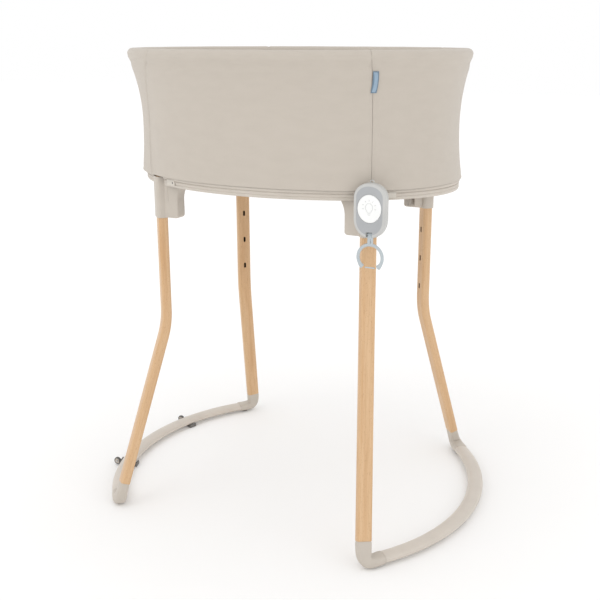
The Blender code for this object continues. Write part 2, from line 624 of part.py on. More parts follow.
def make_post(name, sx, sy):
    """An upright tube from the wing, bending outward to the rim tube."""
    top_z = RIM_Z - RIM_TUBE - GAP
    rim_y = plan_height(RIM_A, RIM_B, POST_X, FULLNESS)
    start_z = POST_SEAT_Z + GAP
    section = oval_section(POST_RADIUS, POST_RADIUS, 10)
    stations = [start_z, POST_BEND_Z - 0.06]
    steps = 7
    stations += [POST_BEND_Z + (top_z - POST_BEND_Z) * step / steps for step in range(steps + 1)]
    rings = []
    for z in stations:
        share = max(0.0, (z - POST_BEND_Z) / (top_z - POST_BEND_Z))
        y = POST_Y + (rim_y - POST_Y) * share ** 1.5
        rings.append(place_section(section, Vector((sx * POST_X, sy * y, z)), Vector((1, 0, 0)),
                                   Vector((0, 1, 0))))
    loft("rim_post_" + name, rings, "painted_tube")


def sweep_oval(name, profile, slot, half_x, half_y, fullness=FULLNESS):
    """Sweep a (outward, z) profile all the way round an oval centre line."""
    rings = []
    for turn in round_stations():
        centre = plan_point(half_x, half_y, turn, fullness)
        normal = normal_at(half_x, half_y, turn, fullness)[1]
        rings.append([centre + normal * outward + Vector((0, 0, z)) for outward, z in profile])
    return loft(name, rings, slot, closed=True)


def make_rim():
    """The steel rim tube and the foam sleeve slit along its underside."""
    tube = [(RIM_TUBE * cos(2 * pi * i / 8), RIM_Z + RIM_TUBE * sin(2 * pi * i / 8)) for i in range(8)]
    sweep_oval("rim_tube", tube, "steel", RIM_A, RIM_B)
    inner, outer = RIM_TUBE + GAP, RIM_OUTER - COVER_WALL - GAP
    arc = [radians(-38)] + RIM_TURNS + [radians(218)]
    profile = [(outer * cos(turn), RIM_Z + outer * sin(turn)) for turn in arc]
    profile += [(inner * cos(turn), RIM_Z + inner * sin(turn)) for turn in reversed(arc)]
    sweep_oval("rim_padding", profile, "foam", RIM_A, RIM_B)


def cover_profile():
    """The outer cover's section: heights up the side, then angles over the rim."""
    below = [HEM_Z + (WAIST_Z - HEM_Z) * share for share in (0.0, 0.26, 0.6)]
    top = RIM_Z - 0.42 * RIM_OUTER - 0.0015
    above = [WAIST_Z + (top - WAIST_Z) * share for share in (0.0, 0.31, 0.59, 0.81, 1.0)]
    return below + above, RIM_TURNS + [radians(205)]


def make_cover_panel(name, first, last):
    """One sewn panel: up the flared side and over the padded rim."""
    heights, turns = cover_profile()
    steps = PANEL_STEPS
    rings = []
    for step in range(steps + 1):
        turn = first + (last - first) * step / steps
        rim_centre = plan_point(RIM_A, RIM_B, turn)
        tangent, normal = normal_at(RIM_A, RIM_B, turn)
        shift = tangent * (SEAM_GAP if step == 0 else -SEAM_GAP if step == steps else 0.0)
        outer, inner = [], []
        for z in heights:
            point = meet_oval(rim_centre, normal, *side_shape(z)) + Vector((0, 0, z))
            outer.append(point)
            inner.append(point - normal * COVER_WALL)
        for angle in turns:
            direction = normal * cos(angle) + Vector((0, 0, sin(angle)))
            centre = rim_centre + Vector((0, 0, RIM_Z))
            outer.append(centre + direction * RIM_OUTER)
            inner.append(centre + direction * (RIM_OUTER - COVER_WALL))
        rings.append([point + shift for point in outer + inner[::-1]])
    loft("cover_panel_" + name, rings, "fabric")


def make_hem_band(name, centre_turn, limit):
    """The zip-on trim band that closes the cover's bottom edge between two brackets."""
    steps = 10
    rings = []
    for step in range(steps + 1):
        turn = centre_turn - limit + 2 * limit * step / steps
        outer = plan_point(BAND_A, BAND_B, turn, 2.0)
        inner = plan_point(BAND_A - BAND_WALL, BAND_B - BAND_WALL, turn, 2.0)
        low, high = Vector((0, 0, BAND_BOTTOM)), Vector((0, 0, BAND_TOP))
        rings.append([outer + low, outer + high, inner + high, inner + low])
    loft("hem_band_" + name, rings, "fabric")


def make_liner():
    """The inner fabric tub: floor, upright wall and flared top."""
    top = RIM_Z - 0.004
    flare = [LINER_FLARE_Z + (top - LINER_FLARE_Z) * share for share in (0.0, 0.3, 0.56, 0.8, 1.0)]
    outer_rings, inner_rings = [], []
    for z in [LINER_FLOOR, LINER_FLOOR + 0.004] + flare:
        half_x, half_y = liner_shape(z)
        fullness = liner_fullness(z)
        trim = 0.004 if z == LINER_FLOOR else 0.0
        inside_z = max(z, LINER_FLOOR + LINER_WALL)
        inside = trim + LINER_WALL
        outer_rings.append(oval_ring(half_x - trim, half_y - trim, z, fullness))
        inner_rings.append(oval_ring(half_x - inside, half_y - inside, inside_z, fullness))
    loft("inner_liner", outer_rings + inner_rings[::-1], "fabric")


def make_board():
    """The floor board on the lower tubes, notched for the posts."""
    bottom = FRAME_Z + FRAME_TUBE + 0.0030
    rings = [oval_ring(FRAME_A + 0.001, FRAME_B - 0.001, z) for z in (bottom, LINER_FLOOR - GAP)]
    board = loft("floor_board", rings, "board")
    notch_in = POST_RADIUS + 0.0027
    for name, (sx, sy) in CORNERS.items():
        low_x, high_x = sorted((sx * (POST_X - notch_in), sx * (POST_X + 0.0550)))
        low_y, high_y = sorted((sy * (POST_Y - notch_in), sy * (POST_Y + 0.0870)))
        cut(board, box("notch_cutter_" + name, (low_x, low_y, bottom - 0.05),
                       (high_x, high_y, bottom + 0.05), "board"))


def make_mattress():
    half_x, half_y = LINER_A - LINER_WALL - MATTRESS_GAP, LINER_B - LINER_WALL - MATTRESS_GAP
    bottom = LINER_FLOOR + LINER_WALL + GAP
    top = bottom + MATTRESS_THICK
    layers = [(bottom, MATTRESS_CROWN), (bottom + MATTRESS_CROWN, 0.0), (top - MATTRESS_CROWN, 0.0),
              (top, MATTRESS_CROWN)]
    rings = [oval_ring(half_x - trim, half_y - trim, z) for z, trim in layers]
    loft("mattress", rings, "mattress_fabric")


def make_tag():
    """A small folded label sewn into the front right seam."""
    lift = 0.0009
    tangent, normal = normal_at(RIM_A, RIM_B, -SEAM_TURN)
    start = plan_point(RIM_A, RIM_B, -SEAM_TURN)
    rings = []
    for z in (TAG_LOW, TAG_LOW + TAG_TALL / 2, TAG_LOW + TAG_TALL):
        here = meet_oval(start, normal, *side_shape(z)) + Vector((0, 0, z))
        near, far = here + normal * lift, here + tangent * TAG_WIDE + normal * lift
        rings.append([near, far, far + normal * TAG_THICK, near + normal * TAG_THICK])
    loft("label_tag", rings, "tag_fabric")


# ---------------------------------------------------------------- the night light
def light_outline(inset, count=24):
    """The light's front outline: arched top, straight sides, tapered foot, as (x, z) pairs."""
    half = LIGHT_HALF - inset
    shoulder, ankle = LIGHT_TOP - TOP_RISE, LIGHT_BOTTOM + FOOT_RISE
    points = []
    for index in range(count):
        turn = 2 * pi * index / count
        if sin(turn) >= -1e-9:
            z = shoulder + (TOP_RISE - inset) * abs(sin(turn)) ** (2 / LIGHT_FULLNESS)
        else:
            z = ankle - (FOOT_RISE - inset) * abs(sin(turn)) ** (2 / LIGHT_FULLNESS)
        points.append((half * power(cos(turn), 2 / LIGHT_FULLNESS), z))
    return points


def disc_outline(grow, count=24):
    oval = oval_section(DISC_HALF_X + grow, DISC_HALF_Z + grow, count)
    return [(x, DISC_Z + z) for x, z in oval]


def light_ring(outline, y):
    return [Vector((LIGHT_X + x, y, z)) for x, z in outline]


def make_light_case():
    """Two hollow shells that meet at a parting line; the front one has the button's hole."""
    back = light_back()
    front, parting = back - LIGHT_THICK, back - BACK_SHELL_THICK
    wall, bevel = LIGHT_WALL, LIGHT_BEVEL
    hole = disc_outline(DISC_CLEAR)
    rings = [light_ring(light_outline(0), parting - GAP / 2), light_ring(light_outline(0), front + bevel),
             light_ring(light_outline(bevel), front), light_ring(hole, front),
             light_ring(hole, front + wall), light_ring(light_outline(wall + 0.0010), front + wall),
             light_ring(light_outline(wall), front + bevel + wall),
             light_ring(light_outline(wall), parting - GAP / 2)]
    shell = loft("light_case_front", rings, "grey_plastic", closed=True)
    rings = [light_ring(light_outline(wall), back - wall), light_ring(light_outline(wall), parting + GAP / 2),
             light_ring(light_outline(0), parting + GAP / 2), light_ring(light_outline(0), back - bevel),
             light_ring(light_outline(bevel), back)]
    case_back = loft("light_case_back", rings, "grey_plastic")

    block_half = HOOK_PIN_HALF + 0.0012
    block_front = front + wall + bevel + GAP
    join(case_back, box("neck_block", (LIGHT_X - block_half, block_front, LIGHT_BOTTOM + 0.0036),
                        (LIGHT_X + block_half, back - wall / 2, LIGHT_BOTTOM + NOTCH_TALL + 0.0020),
                        "grey_plastic"))
    for target in (shell, case_back):
        low = (LIGHT_X - NOTCH_HALF, front - 0.01, LIGHT_BOTTOM - 0.01)
        high = (LIGHT_X + NOTCH_HALF, back + 0.01, LIGHT_BOTTOM + NOTCH_TALL)
        cut(target, box("neck_cutter_" + target.name, low, high, "grey_plastic"))
    cut(case_back, rod("hook_pin_cutter", (LIGHT_X - HOOK_PIN_HALF - GAP, hook_y(), HOOK_PIN_Z),
                       (LIGHT_X + HOOK_PIN_HALF + GAP, hook_y(), HOOK_PIN_Z), HOOK_PIN_RADIUS + AXLE_CLEAR,
                       "steel"))

    middle = back - BACK_SHELL_THICK / 2
    outer, inner = oval_section(0.0042, 0.0046, 16), oval_section(0.0024, 0.0024, 16)
    lug_centre = Vector((LIGHT_X, 0, LIGHT_TOP + 0.0010))
    rings = []
    for section, y in ((outer, middle - 0.0016), (outer, middle + 0.0016), (inner, middle + 0.0016),
                       (inner, middle - 0.0016)):
        rings.append([lug_centre + Vector((a, y, b)) for a, b in section])
    join(case_back, loft("lug_helper", rings, "grey_plastic", closed=True))


def make_light_inside():
    """The round push button, the circuit board behind it and the battery."""
    back = light_back()
    front = back - LIGHT_THICK
    flange = front + LIGHT_WALL + GAP
    flange_back = flange + 0.0012
    stations = [(DISC_FLANGE, flange_back), (DISC_FLANGE, flange), (0, flange), (0, front),
                (-0.0012, front - 0.0008)]
    button_rings = [light_ring(disc_outline(grow), y) for grow, y in stations]
    loft("light_button", button_rings, "white_plastic", origin=(LIGHT_X, front, DISC_Z))
    board_front = flange_back + DISC_TRAVEL + 0.0006
    board_back = board_front + 0.0012
    box("light_circuit_board", (LIGHT_X - 0.0230, board_front, LIGHT_BOTTOM + 0.0240),
        (LIGHT_X + 0.0230, board_back, LIGHT_TOP - 0.0180), "circuit_board")
    box("light_battery", (LIGHT_X - 0.0170, board_back + GAP, LIGHT_BOTTOM + 0.0260),
        (LIGHT_X + 0.0170, back - LIGHT_WALL - GAP, LIGHT_TOP - 0.0330), "battery")


def make_light_dock():
    """A saddle on the front right bracket, cut to the collar and wing, that carries the light."""
    sx, sy = CORNERS["front_right"]
    outward, sideways = leg_frame(sx, sy)
    below, above = BRACKET_BOTTOM - 0.05, BRACKET_TOP + 0.05
    dock = box("light_dock", (LIGHT_X - 0.0280, light_back() + GAP, BRACKET_BOTTOM + 0.010),
               (LIGHT_X + 0.0080, sy * LEG_Y + 0.004, BAND_BOTTOM - 0.0035), "greige_plastic", corner=0.002)
    centre = Vector((sx * LEG_X, sy * LEG_Y, 0))
    grown = COLLAR_WALL + 2 * GAP
    collar = rounded_section(LEG_WIDE / 2 + grown, LEG_THICK / 2 + grown, LEG_CORNER + grown)
    rings = [place_section(collar, centre + Vector((0, 0, z)), sideways, outward) for z in (below, above)]
    cut(dock, loft("dock_collar_cutter", rings, "greige_plastic"))
    cut(dock, box("dock_wing_cutter", (LEG_X - 0.08, sy * (LEG_Y + WING_OUT + GAP), below),
                  (LEG_X, sy * (LEG_Y - 0.06), above), "greige_plastic"))
    cut(dock, box("dock_back_cutter", (LEG_X - 0.001, sy * (LEG_Y + 0.004), below),
                  (LEG_X + 0.06, sy * (LEG_Y - 0.06), above), "greige_plastic"))


def hook_y():
    """The plane that the hanging ring and its pin lie in."""
    return light_back() - LIGHT_THICK / 2


def make_light_ring():
    """The hanging ring below the light: an open loop with a hinged bar across its foot."""
    pin = Vector((LIGHT_X, hook_y(), HOOK_PIN_Z))
    centre = pin - Vector((0, 0, RING_DROP))
    first, last = RING_OPEN - pi / 2, 3 * pi / 2 - RING_OPEN
    steps = 18
    rings = []
    for step in range(steps + 1):
        turn = first + (last - first) * step / steps
        radial = Vector((cos(turn), 0, sin(turn)))
        near_end = min(step, steps - step)
        swell = 1.35 if near_end == 0 else 1.25 if near_end == 1 else 1.0
        section = oval_section(RING_BAND * swell, RING_BAND * 0.95, 8)
        rings.append(place_section(section, centre + radial * RING_RADIUS, radial, Vector((0, 1, 0))))
    hook = loft("light_hook_ring", rings, "ring_plastic", origin=pin)
    neck_low = centre.z + RING_RADIUS - 0.0010
    half_thick = HOOK_NECK_THICK / 2
    join(hook, box("neck_helper", (pin.x - HOOK_NECK_HALF, pin.y - half_thick, neck_low),
                   (pin.x + HOOK_NECK_HALF, pin.y + half_thick, pin.z + HOOK_NECK_TOP), "ring_plastic"))
    reach = Vector((0.02, 0, 0))
    cut(hook, rod("hook_bore_cutter", pin - reach, pin + reach, HOOK_PIN_RADIUS + AXLE_CLEAR, "steel"))
    half_pin = Vector((HOOK_PIN_HALF, 0, 0))
    rod("light_hook_pin", pin - half_pin, pin + half_pin, HOOK_PIN_RADIUS, "steel")

    side = Vector((RING_RADIUS * sin(RING_OPEN) - 0.0048, 0, 0))
    bar_middle = centre - Vector((0, 0, RING_RADIUS * cos(RING_OPEN) + 0.0006))
    rod("light_hook_gate", bar_middle - side, bar_middle + side, GATE_RADIUS, "ring_plastic", sides=8,
        origin=bar_middle + side)


def build():
    for item in list(bpy.data.objects):
        bpy.data.objects.remove(item, do_unlink=True)
    for name, (sx, sy) in CORNERS.items():
        make_leg(name, sx, sy)
        make_foot_socket(name, sx, sy)
        make_bracket(name, sx, sy)
        make_latch(name, sx, sy)
        make_post(name, sx, sy)
    make_rail("left", -1)
    make_rail("right", 1)
    make_caster("front", -1)
    make_caster("back", 1)
    frame_tube("lower_tube_front", "side", 1, -1)
    frame_tube("lower_tube_back", "side", 1, 1)
    frame_tube("lower_tube_left", "end", -1, 1)
    frame_tube("lower_tube_right", "end", 1, 1)
    make_rim()
    turns = seam_turns()
    for side, first, last in zip(("right", "back", "left", "front"), turns, turns[1:]):
        make_cover_panel(side, first, last)
    side_limit, end_limit = asin((LEG_X - BAND_END) / BAND_A), asin((LEG_Y - BAND_SIDE_END) / BAND_B)
    make_hem_band("right", 0, end_limit)
    make_hem_band("back", pi / 2, side_limit)
    make_hem_band("left", pi, end_limit)
    make_hem_band("front", -pi / 2, side_limit)
    make_liner()
    make_board()
    make_mattress()
    make_tag()
    make_light_case()
    make_light_inside()
    make_light_dock()
    make_light_ring()


build()
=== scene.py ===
"""Looks of the bassinet: fine surfaces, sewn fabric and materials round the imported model."""

from math import asin, cos, exp, pi, radians, sin, sqrt

import bmesh
import bpy
import numpy as np
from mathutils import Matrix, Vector, noise


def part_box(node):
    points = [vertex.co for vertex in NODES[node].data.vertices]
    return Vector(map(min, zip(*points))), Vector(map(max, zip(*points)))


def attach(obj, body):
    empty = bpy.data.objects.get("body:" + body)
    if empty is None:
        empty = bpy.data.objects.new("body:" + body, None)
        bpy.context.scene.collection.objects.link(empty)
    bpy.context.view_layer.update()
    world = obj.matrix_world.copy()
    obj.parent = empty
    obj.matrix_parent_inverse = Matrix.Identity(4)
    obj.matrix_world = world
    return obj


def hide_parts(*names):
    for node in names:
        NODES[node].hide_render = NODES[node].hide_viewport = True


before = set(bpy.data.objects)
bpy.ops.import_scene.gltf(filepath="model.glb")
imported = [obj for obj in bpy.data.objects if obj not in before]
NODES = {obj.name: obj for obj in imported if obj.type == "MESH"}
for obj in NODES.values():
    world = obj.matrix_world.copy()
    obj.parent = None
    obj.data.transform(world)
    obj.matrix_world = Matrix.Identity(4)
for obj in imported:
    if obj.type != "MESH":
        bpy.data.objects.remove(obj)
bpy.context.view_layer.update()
CORNERS = {"front_left": (-1, -1), "front_right": (1, -1), "back_left": (-1, 1), "back_right": (1, 1)}

# ---------------------------------------------------------------- places, partly read from the imported model
GAP = 0.0003
RIM_TUBE, RIM_OUTER, COVER_WALL = 0.0060, 0.0108, 0.0013
RIM_LOW, RIM_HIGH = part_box("rim_tube")
RIM_A, RIM_B = RIM_HIGH.x - RIM_TUBE, RIM_HIGH.y - RIM_TUBE
RIM_Z = (RIM_LOW.z + RIM_HIGH.z) / 2
HEM_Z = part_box("cover_panel_front")[0].z
FULLNESS = 2.12
WAIST_A, WAIST_B, WAIST_Z = RIM_A - 0.0085, RIM_B - 0.0285, HEM_Z + 0.0985
HEM_A, HEM_B = WAIST_A + 0.0090, WAIST_B - 0.0065
SEAM_DRIFT = {"front_right": (-44.2, -46.8), "back_right": (44.2, 46.8),
              "back_left": (137.5, 122.0), "front_left": (222.5, 238.0)}

BAND_LOW, BAND_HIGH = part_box("hem_band_back")
BAND_A, BAND_B, BAND_WALL = HEM_A - 0.0040, BAND_HIGH.y, 0.0018
LINER_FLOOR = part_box("inner_liner")[0].z
LINER_A, LINER_B, LINER_WALL = WAIST_A - 0.0240, WAIST_B - 0.0460, 0.0015
LINER_FLARE_Z = HEM_Z + 0.1420

LEG_WIDE, LEG_THICK, LEG_CORNER = 0.029, 0.0195, 0.0058
LEG_TURN, SECTION_TURN = radians(45.3), radians(45)
LEG_INSET = LEG_THICK / 2 + 0.00045
LEG_X, LEG_Y = (WAIST_A - LEG_INSET) * cos(LEG_TURN), (WAIST_B - LEG_INSET) * sin(LEG_TURN)
LEG_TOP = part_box("leg_front_left")[1].z
BRACKET_LOW, BRACKET_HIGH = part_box("corner_bracket_front_left")
BRACKET_BOTTOM, BRACKET_TOP = BRACKET_LOW.z, BRACKET_HIGH.z
KNEE_Z, KNEE_BLEND = 0.3755, 0.030
SLOT_TOP_Z, SLOT_PITCH, SLOT_COUNT = BRACKET_BOTTOM + 0.0145, 0.0625, 4
SLOT_WIDE, SLOT_TALL, SLOT_DEEP = 0.0048, 0.0124, 0.0085

ARC_RADIUS, ARC_OFFSET, RAIL_ANGLE = 0.408, 0.017, radians(39)
RAIL_LOW, RAIL_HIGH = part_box("base_rail_right")
RAIL_Z, RAIL_TALL, RAIL_WIDE = (RAIL_LOW.z + RAIL_HIGH.z) / 2, RAIL_HIGH.z - RAIL_LOW.z, 0.032
JOINT = (ARC_RADIUS * cos(RAIL_ANGLE) - ARC_OFFSET - 0.0301, ARC_RADIUS * sin(RAIL_ANGLE) + 0.0212, 0.051)
CORNER_EASE, CORNER_DROP = 0.95, 0.0030
TENON_LENGTH, TENON_STEP = 0.020, 0.0026
SPIGOT_LENGTH, SPIGOT_STEP = 0.016, 0.0040
LIP, END_PLAY = 0.0006, 0.0005      # easing where elbow and rail meet; play past a tenon's end
PAD_RADIUS = 0.0080

BAND_END, BAND_SIDE_END = 0.0202, 0.0105
WING_REACH, WING_OUT, WING_IN = 0.0446, 0.0095, 0.0175
WING_FLARE, FLARE_RISE, COLLAR_WALL = 0.0095, 0.0300, 0.0021
WING_CORNER, WING_FOOT, WING_FOOT_TRIM = 0.004, 0.0052, 0.0012
HEEL_LONG, HEEL_DEEP, HEEL_CLEAR = 0.034, 0.014, 0.0012
FRAME_TUBE, FRAME_A, FRAME_B = 0.0055, LINER_A - 0.0020, LINER_B + 0.0090
FRAME_Z, FRAME_END_Y = BRACKET_TOP - 0.0077, LEG_Y - 0.0308
GROOVE_INSET, GROOVE_HALF, GROOVE_DEEP = 0.0225, 0.0003, 0.0006

CASE_LOW, CASE_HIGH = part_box("light_case_front")
LIGHT_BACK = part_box("light_case_back")[1].y
LIGHT_X = (CASE_LOW.x + CASE_HIGH.x) / 2
LIGHT_BOTTOM, LIGHT_TOP = CASE_LOW.z, CASE_HIGH.z
LIGHT_FRONT, LIGHT_HALF, LIGHT_WALL = CASE_LOW.y, (CASE_HIGH.x - CASE_LOW.x) / 2, 0.0016
TOP_RISE, FOOT_RISE, LIGHT_FULLNESS = 0.0270, 0.0350, 2.1
DISC_Z = LIGHT_BOTTOM + 0.0530
DISC_HALF_X, DISC_HALF_Z = 0.0224, 0.0250
NOTCH_HALF, NOTCH_TALL, PIN_BORE = 0.0062, 0.0108, 0.00128
FRONT_BEND, FRONT_BEVEL, BACK_BEVEL = 0.0042, 0.0028, 0.0024
PIN_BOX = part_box("light_hook_pin")
HOOK_PIN = (PIN_BOX[0] + PIN_BOX[1]) / 2
RING_RADIUS, RING_BAND, RING_DROP, RING_OPEN = 0.0232, 0.0030, 0.0415, radians(38)

RIGHT, BACK, UP = Vector((1, 0, 0)), Vector((0, 1, 0)), Vector((0, 0, 1))


# ---------------------------------------------------------------- shader helpers
class Shader:
    """A Principled material and short ways to add nodes to it."""

    def __init__(self, name, color, roughness, metallic=0.0, **sockets):
        self.material = bpy.data.materials.new(name)
        self.material.use_nodes = True
        self.tree = self.material.node_tree
        self.main = self.tree.nodes["Principled BSDF"]
        self.color = (*color, 1.0)
        self.main.inputs["Base Color"].default_value = self.color
        self.main.inputs["Roughness"].default_value = roughness
        self.main.inputs["Metallic"].default_value = metallic
        for socket, value in sockets.items():
            self.main.inputs[socket.replace("_", " ")].default_value = value

    def node(self, kind, inputs=None, **props):
        made = self.tree.nodes.new("ShaderNode" + kind)
        for key, value in props.items():
            setattr(made, key, value)
        for key, value in (inputs or {}).items():
            if isinstance(value, bpy.types.NodeSocket):
                self.tree.links.new(value, made.inputs[key])
            else:
                made.inputs[key].default_value = value
        return made

    def math(self, operation, first, second=0.0, third=0.0):
        return self.node("Math", {0: first, 1: second, 2: third}, operation=operation).outputs[0]

    def lie(self):
        """Where a point lies on the flat cloth or in the board, in metres."""
        return self.node("Attribute", attribute_name="lie").outputs["Vector"]

    def place(self):
        return self.node("TexCoord").outputs["Object"]

    def stretched(self, vector, scale):
        return self.node("Mapping", {"Vector": vector, "Scale": scale}).outputs["Vector"]

    def noise(self, vector, scale, detail=3.0, roughness=0.55):
        return self.node("TexNoise", {"Vector": vector, "Scale": scale, "Detail": detail,
                                      "Roughness": roughness}).outputs["Fac"]

    def ramp(self, value, low, high, to_low=0.0, to_high=1.0):
        return self.node("MapRange", {"Value": value, "From Min": low, "From Max": high,
                                      "To Min": to_low, "To Max": to_high}).outputs["Result"]

    def tint(self, factor, color):
        """Mixes another colour over what the base colour is so far."""
        socket = self.main.inputs["Base Color"]
        before = socket.links[0].from_socket if socket.links else self.color
        mix = self.node("Mix", {0: factor, 6: before, 7: (*color, 1.0)}, data_type="RGBA")
        self.tree.links.new(mix.outputs[2], socket)

    def rough(self, value):
        self.tree.links.new(value, self.main.inputs["Roughness"])

    def bump(self, height, distance, strength=1.0):
        socket = self.main.inputs["Normal"]
        inputs = {"Height": height, "Distance": distance, "Strength": strength}
        if socket.links:
            inputs["Normal"] = socket.links[0].from_socket
        self.tree.links.new(self.node("Bump", inputs).outputs["Normal"], socket)


def fabric_material(name, color, hollow_shade_and_yarn_tone, pitch, depth):
    """A fine knit of small diamonds with painted shade in its hollows, slubs and a soft sheen."""
    s = Shader(name, color, 0.92, Sheen_Weight=0.25, Sheen_Roughness=0.5)
    s.main.inputs["Specular IOR Level"].default_value = 0.2
    lie = s.lie()
    split = s.node("SeparateXYZ", {0: lie})
    turn = 2 * pi / pitch
    along = s.math("MULTIPLY", s.math("ADD", split.outputs[0], split.outputs[1]), turn)
    across = s.math("MULTIPLY", s.math("SUBTRACT", split.outputs[0], split.outputs[1]), turn)
    knit = s.math("MULTIPLY", s.math("SINE", along), s.math("SINE", across))
    yarn = s.noise(s.stretched(lie, (900, 1500, 900)), 1.0, 2.0)
    slub = s.noise(s.stretched(lie, (28, 60, 28)), 1.0, 4.0)
    # painted shade: the knit's hollows darkened, as if shaded by the yarn round them
    s.tint(s.ramp(knit, 0.2, -1.0, 0.0, 0.22), hollow_shade_and_yarn_tone)
    # the slubs and yarn take the darker colour as their own tone
    s.tint(s.ramp(slub, 0.35, 0.75, 0.0, 0.16), hollow_shade_and_yarn_tone)
    s.tint(s.ramp(yarn, 0.45, 0.8, 0.0, 0.18), hollow_shade_and_yarn_tone)
    s.bump(knit, depth, 0.55)
    s.bump(yarn, depth * 0.8, 0.4)
    return s.material


def wood_material():
    """Clear-lacquered beech: soft growth bands, short dark ray flecks, fine pores along the grain."""
    s = Shader("beech", (0.660, 0.430, 0.235), 0.42, Coat_Weight=0.12, Coat_Roughness=0.3)
    lie = s.lie()
    band = s.noise(s.stretched(lie, (170, 170, 5.5)), 1.0, 5.0, 0.6)
    streak = s.noise(s.stretched(lie, (1500, 1500, 26)), 1.0, 3.0, 0.6)
    fleck = s.noise(s.stretched(lie, (1300, 1300, 210)), 1.0, 1.0, 0.4)
    broad = s.noise(s.stretched(lie, (28, 28, 3)), 1.0, 2.0)
    s.tint(s.ramp(band, 0.42, 0.62, 0.0, 0.62), (0.560, 0.315, 0.140))
    s.tint(s.ramp(broad, 0.35, 0.7, 0.0, 0.55), (0.760, 0.540, 0.330))
    s.tint(s.ramp(streak, 0.50, 0.72, 0.0, 0.50), (0.470, 0.250, 0.105))
    s.tint(s.ramp(fleck, 0.66, 0.74, 0.0, 0.55), (0.330, 0.160, 0.065))
    s.rough(s.ramp(streak, 0.3, 0.8, 0.38, 0.56))
    s.bump(streak, 0.00006, 0.5)
    return s.material


def plastic_material(name, color, roughness=0.48, grain=0.00004, spread=0.05, **sockets):
    """Moulded plastic with a fine spark-eroded grain and slight unevenness."""
    s = Shader(name, color, roughness, **sockets)
    place = s.place()
    cloud = s.noise(place, 22.0, 3.0)
    skin = s.noise(place, 2600.0, 1.0)
    darker = tuple(0.84 * c for c in color)
    s.tint(s.ramp(cloud, 0.35, 0.7, 0.0, 0.35), darker)
    s.rough(s.ramp(cloud, 0.3, 0.75, roughness - spread, roughness + spread))
    s.bump(skin, grain, 0.5)
    return s.material


def metal_material(name, color, roughness, metallic=1.0):
    """Drawn metal with fine scratches along its length."""
    s = Shader(name, color, roughness, metallic)
    place = s.place()
    scratch = s.noise(s.stretched(place, (1800, 1800, 90)), 1.0, 2.0)
    s.rough(s.ramp(scratch, 0.3, 0.75, roughness - 0.08, roughness + 0.12))
    s.tint(s.ramp(s.noise(place, 35.0), 0.4, 0.75, 0.0, 0.3), tuple(0.8 * c for c in color))
    return s.material


def rubber_material():
    s = Shader("dark_rubber", (0.110, 0.106, 0.100), 0.75)
    place = s.place()
    dust = s.noise(place, 120.0, 4.0)
    s.tint(s.ramp(dust, 0.5, 0.8, 0.0, 0.5), (0.170, 0.163, 0.155))
    s.bump(s.noise(place, 1800.0), 0.00005, 0.6)
    return s.material


def board_material():
    s = Shader("pressed_board", (0.20, 0.165, 0.135), 0.8)
    place = s.place()
    chips = s.noise(s.stretched(place, (180, 420, 180)), 1.0, 4.0)
    s.tint(s.ramp(chips, 0.42, 0.62, 0.0, 0.7), (0.30, 0.25, 0.20))
    s.bump(chips, 0.0002, 0.5)
    return s.material


def circuit_material():
    s = Shader("circuit_board", (0.02, 0.13, 0.05), 0.35)
    tracks = s.node("TexBrick", {"Vector": s.place(), "Scale": 260.0, "Mortar Size": 0.03})
    s.tint(s.ramp(tracks.outputs["Fac"], 0.2, 0.8, 0.0, 0.7), (0.10, 0.30, 0.14))
    return s.material


# Each cloth: name, colour, the darker colour used as painted shade in the knit's hollows and as the slubs'
# and yarn's own tone, the knit's pitch and its depth.
FABRIC = fabric_material("cover_knit", (0.560, 0.508, 0.446), (0.430, 0.382, 0.328), 0.0021, 0.00012)
BAND_FABRIC = fabric_material("band_webbing", (0.640, 0.585, 0.520), (0.400, 0.350, 0.285), 0.0011, 0.00010)
TAB_FABRIC = fabric_material("tab_webbing", (0.700, 0.655, 0.590), (0.520, 0.470, 0.400), 0.0009, 0.00010)
LINER_FABRIC = fabric_material("liner_knit", (0.640, 0.600, 0.540), (0.500, 0.460, 0.400), 0.0018, 0.00012)
MATTRESS_FABRIC = fabric_material("mattress_cotton", (0.790, 0.775, 0.740), (0.660, 0.640, 0.600),
                                  0.0016, 0.00012)
FOAM = fabric_material("foam", (0.78, 0.75, 0.68), (0.62, 0.58, 0.50), 0.0030, 0.00020)
TAG_FABRIC = fabric_material("tag_weave", (0.190, 0.265, 0.345), (0.085, 0.125, 0.175), 0.0008, 0.00012)
TAG_LIGHT = fabric_material("tag_weave_light", (0.330, 0.440, 0.550), (0.190, 0.275, 0.360), 0.0008, 0.00012)
WOOD = wood_material()
GREIGE = plastic_material("greige_moulded", (0.560, 0.505, 0.440))
# painted light: the same greige made lighter on the rails, for the light that falls on their tops
RAIL_GREIGE_LIT = plastic_material("rail_greige", (0.640, 0.580, 0.512), 0.40, 0.00002)
DARK_PLASTIC = plastic_material("dark_moulded", (0.150, 0.142, 0.134), 0.5)
LATCH_PLASTIC = plastic_material("latch_moulded", (0.400, 0.360, 0.310))
# painted shade: a near-black brown for the inside of the leg's latch slots
SLOT_PAINTED_SHADE = plastic_material("slot_painted_shade", (0.045, 0.020, 0.008), 0.8)
LIGHT_GREY = plastic_material("light_grey_moulded", (0.405, 0.415, 0.425), 0.42, 0.00003)
LIGHT_EDGE = plastic_material("light_edge_moulded", (0.540, 0.540, 0.525), 0.40, 0.00003)
LIGHT_WHITE = plastic_material("light_white_lens", (0.900, 0.905, 0.895), 0.30, 0.00001, 0.03)
ICON_GREY = plastic_material("icon_grey", (0.62, 0.63, 0.62), 0.5, 0.00001)
RING_PLASTIC = plastic_material("ring_pale", (0.480, 0.530, 0.555), 0.38, 0.00002)
RUBBER = rubber_material()
STEEL = metal_material("plain_steel", (0.56, 0.57, 0.58), 0.34)
TUBE_PAINT = plastic_material("tube_coat", (0.50, 0.465, 0.41), 0.36, 0.00003)
BOARD = board_material()
CIRCUIT = circuit_material()
BATTERY = metal_material("battery_wrap", (0.30, 0.33, 0.38), 0.4, 0.3)


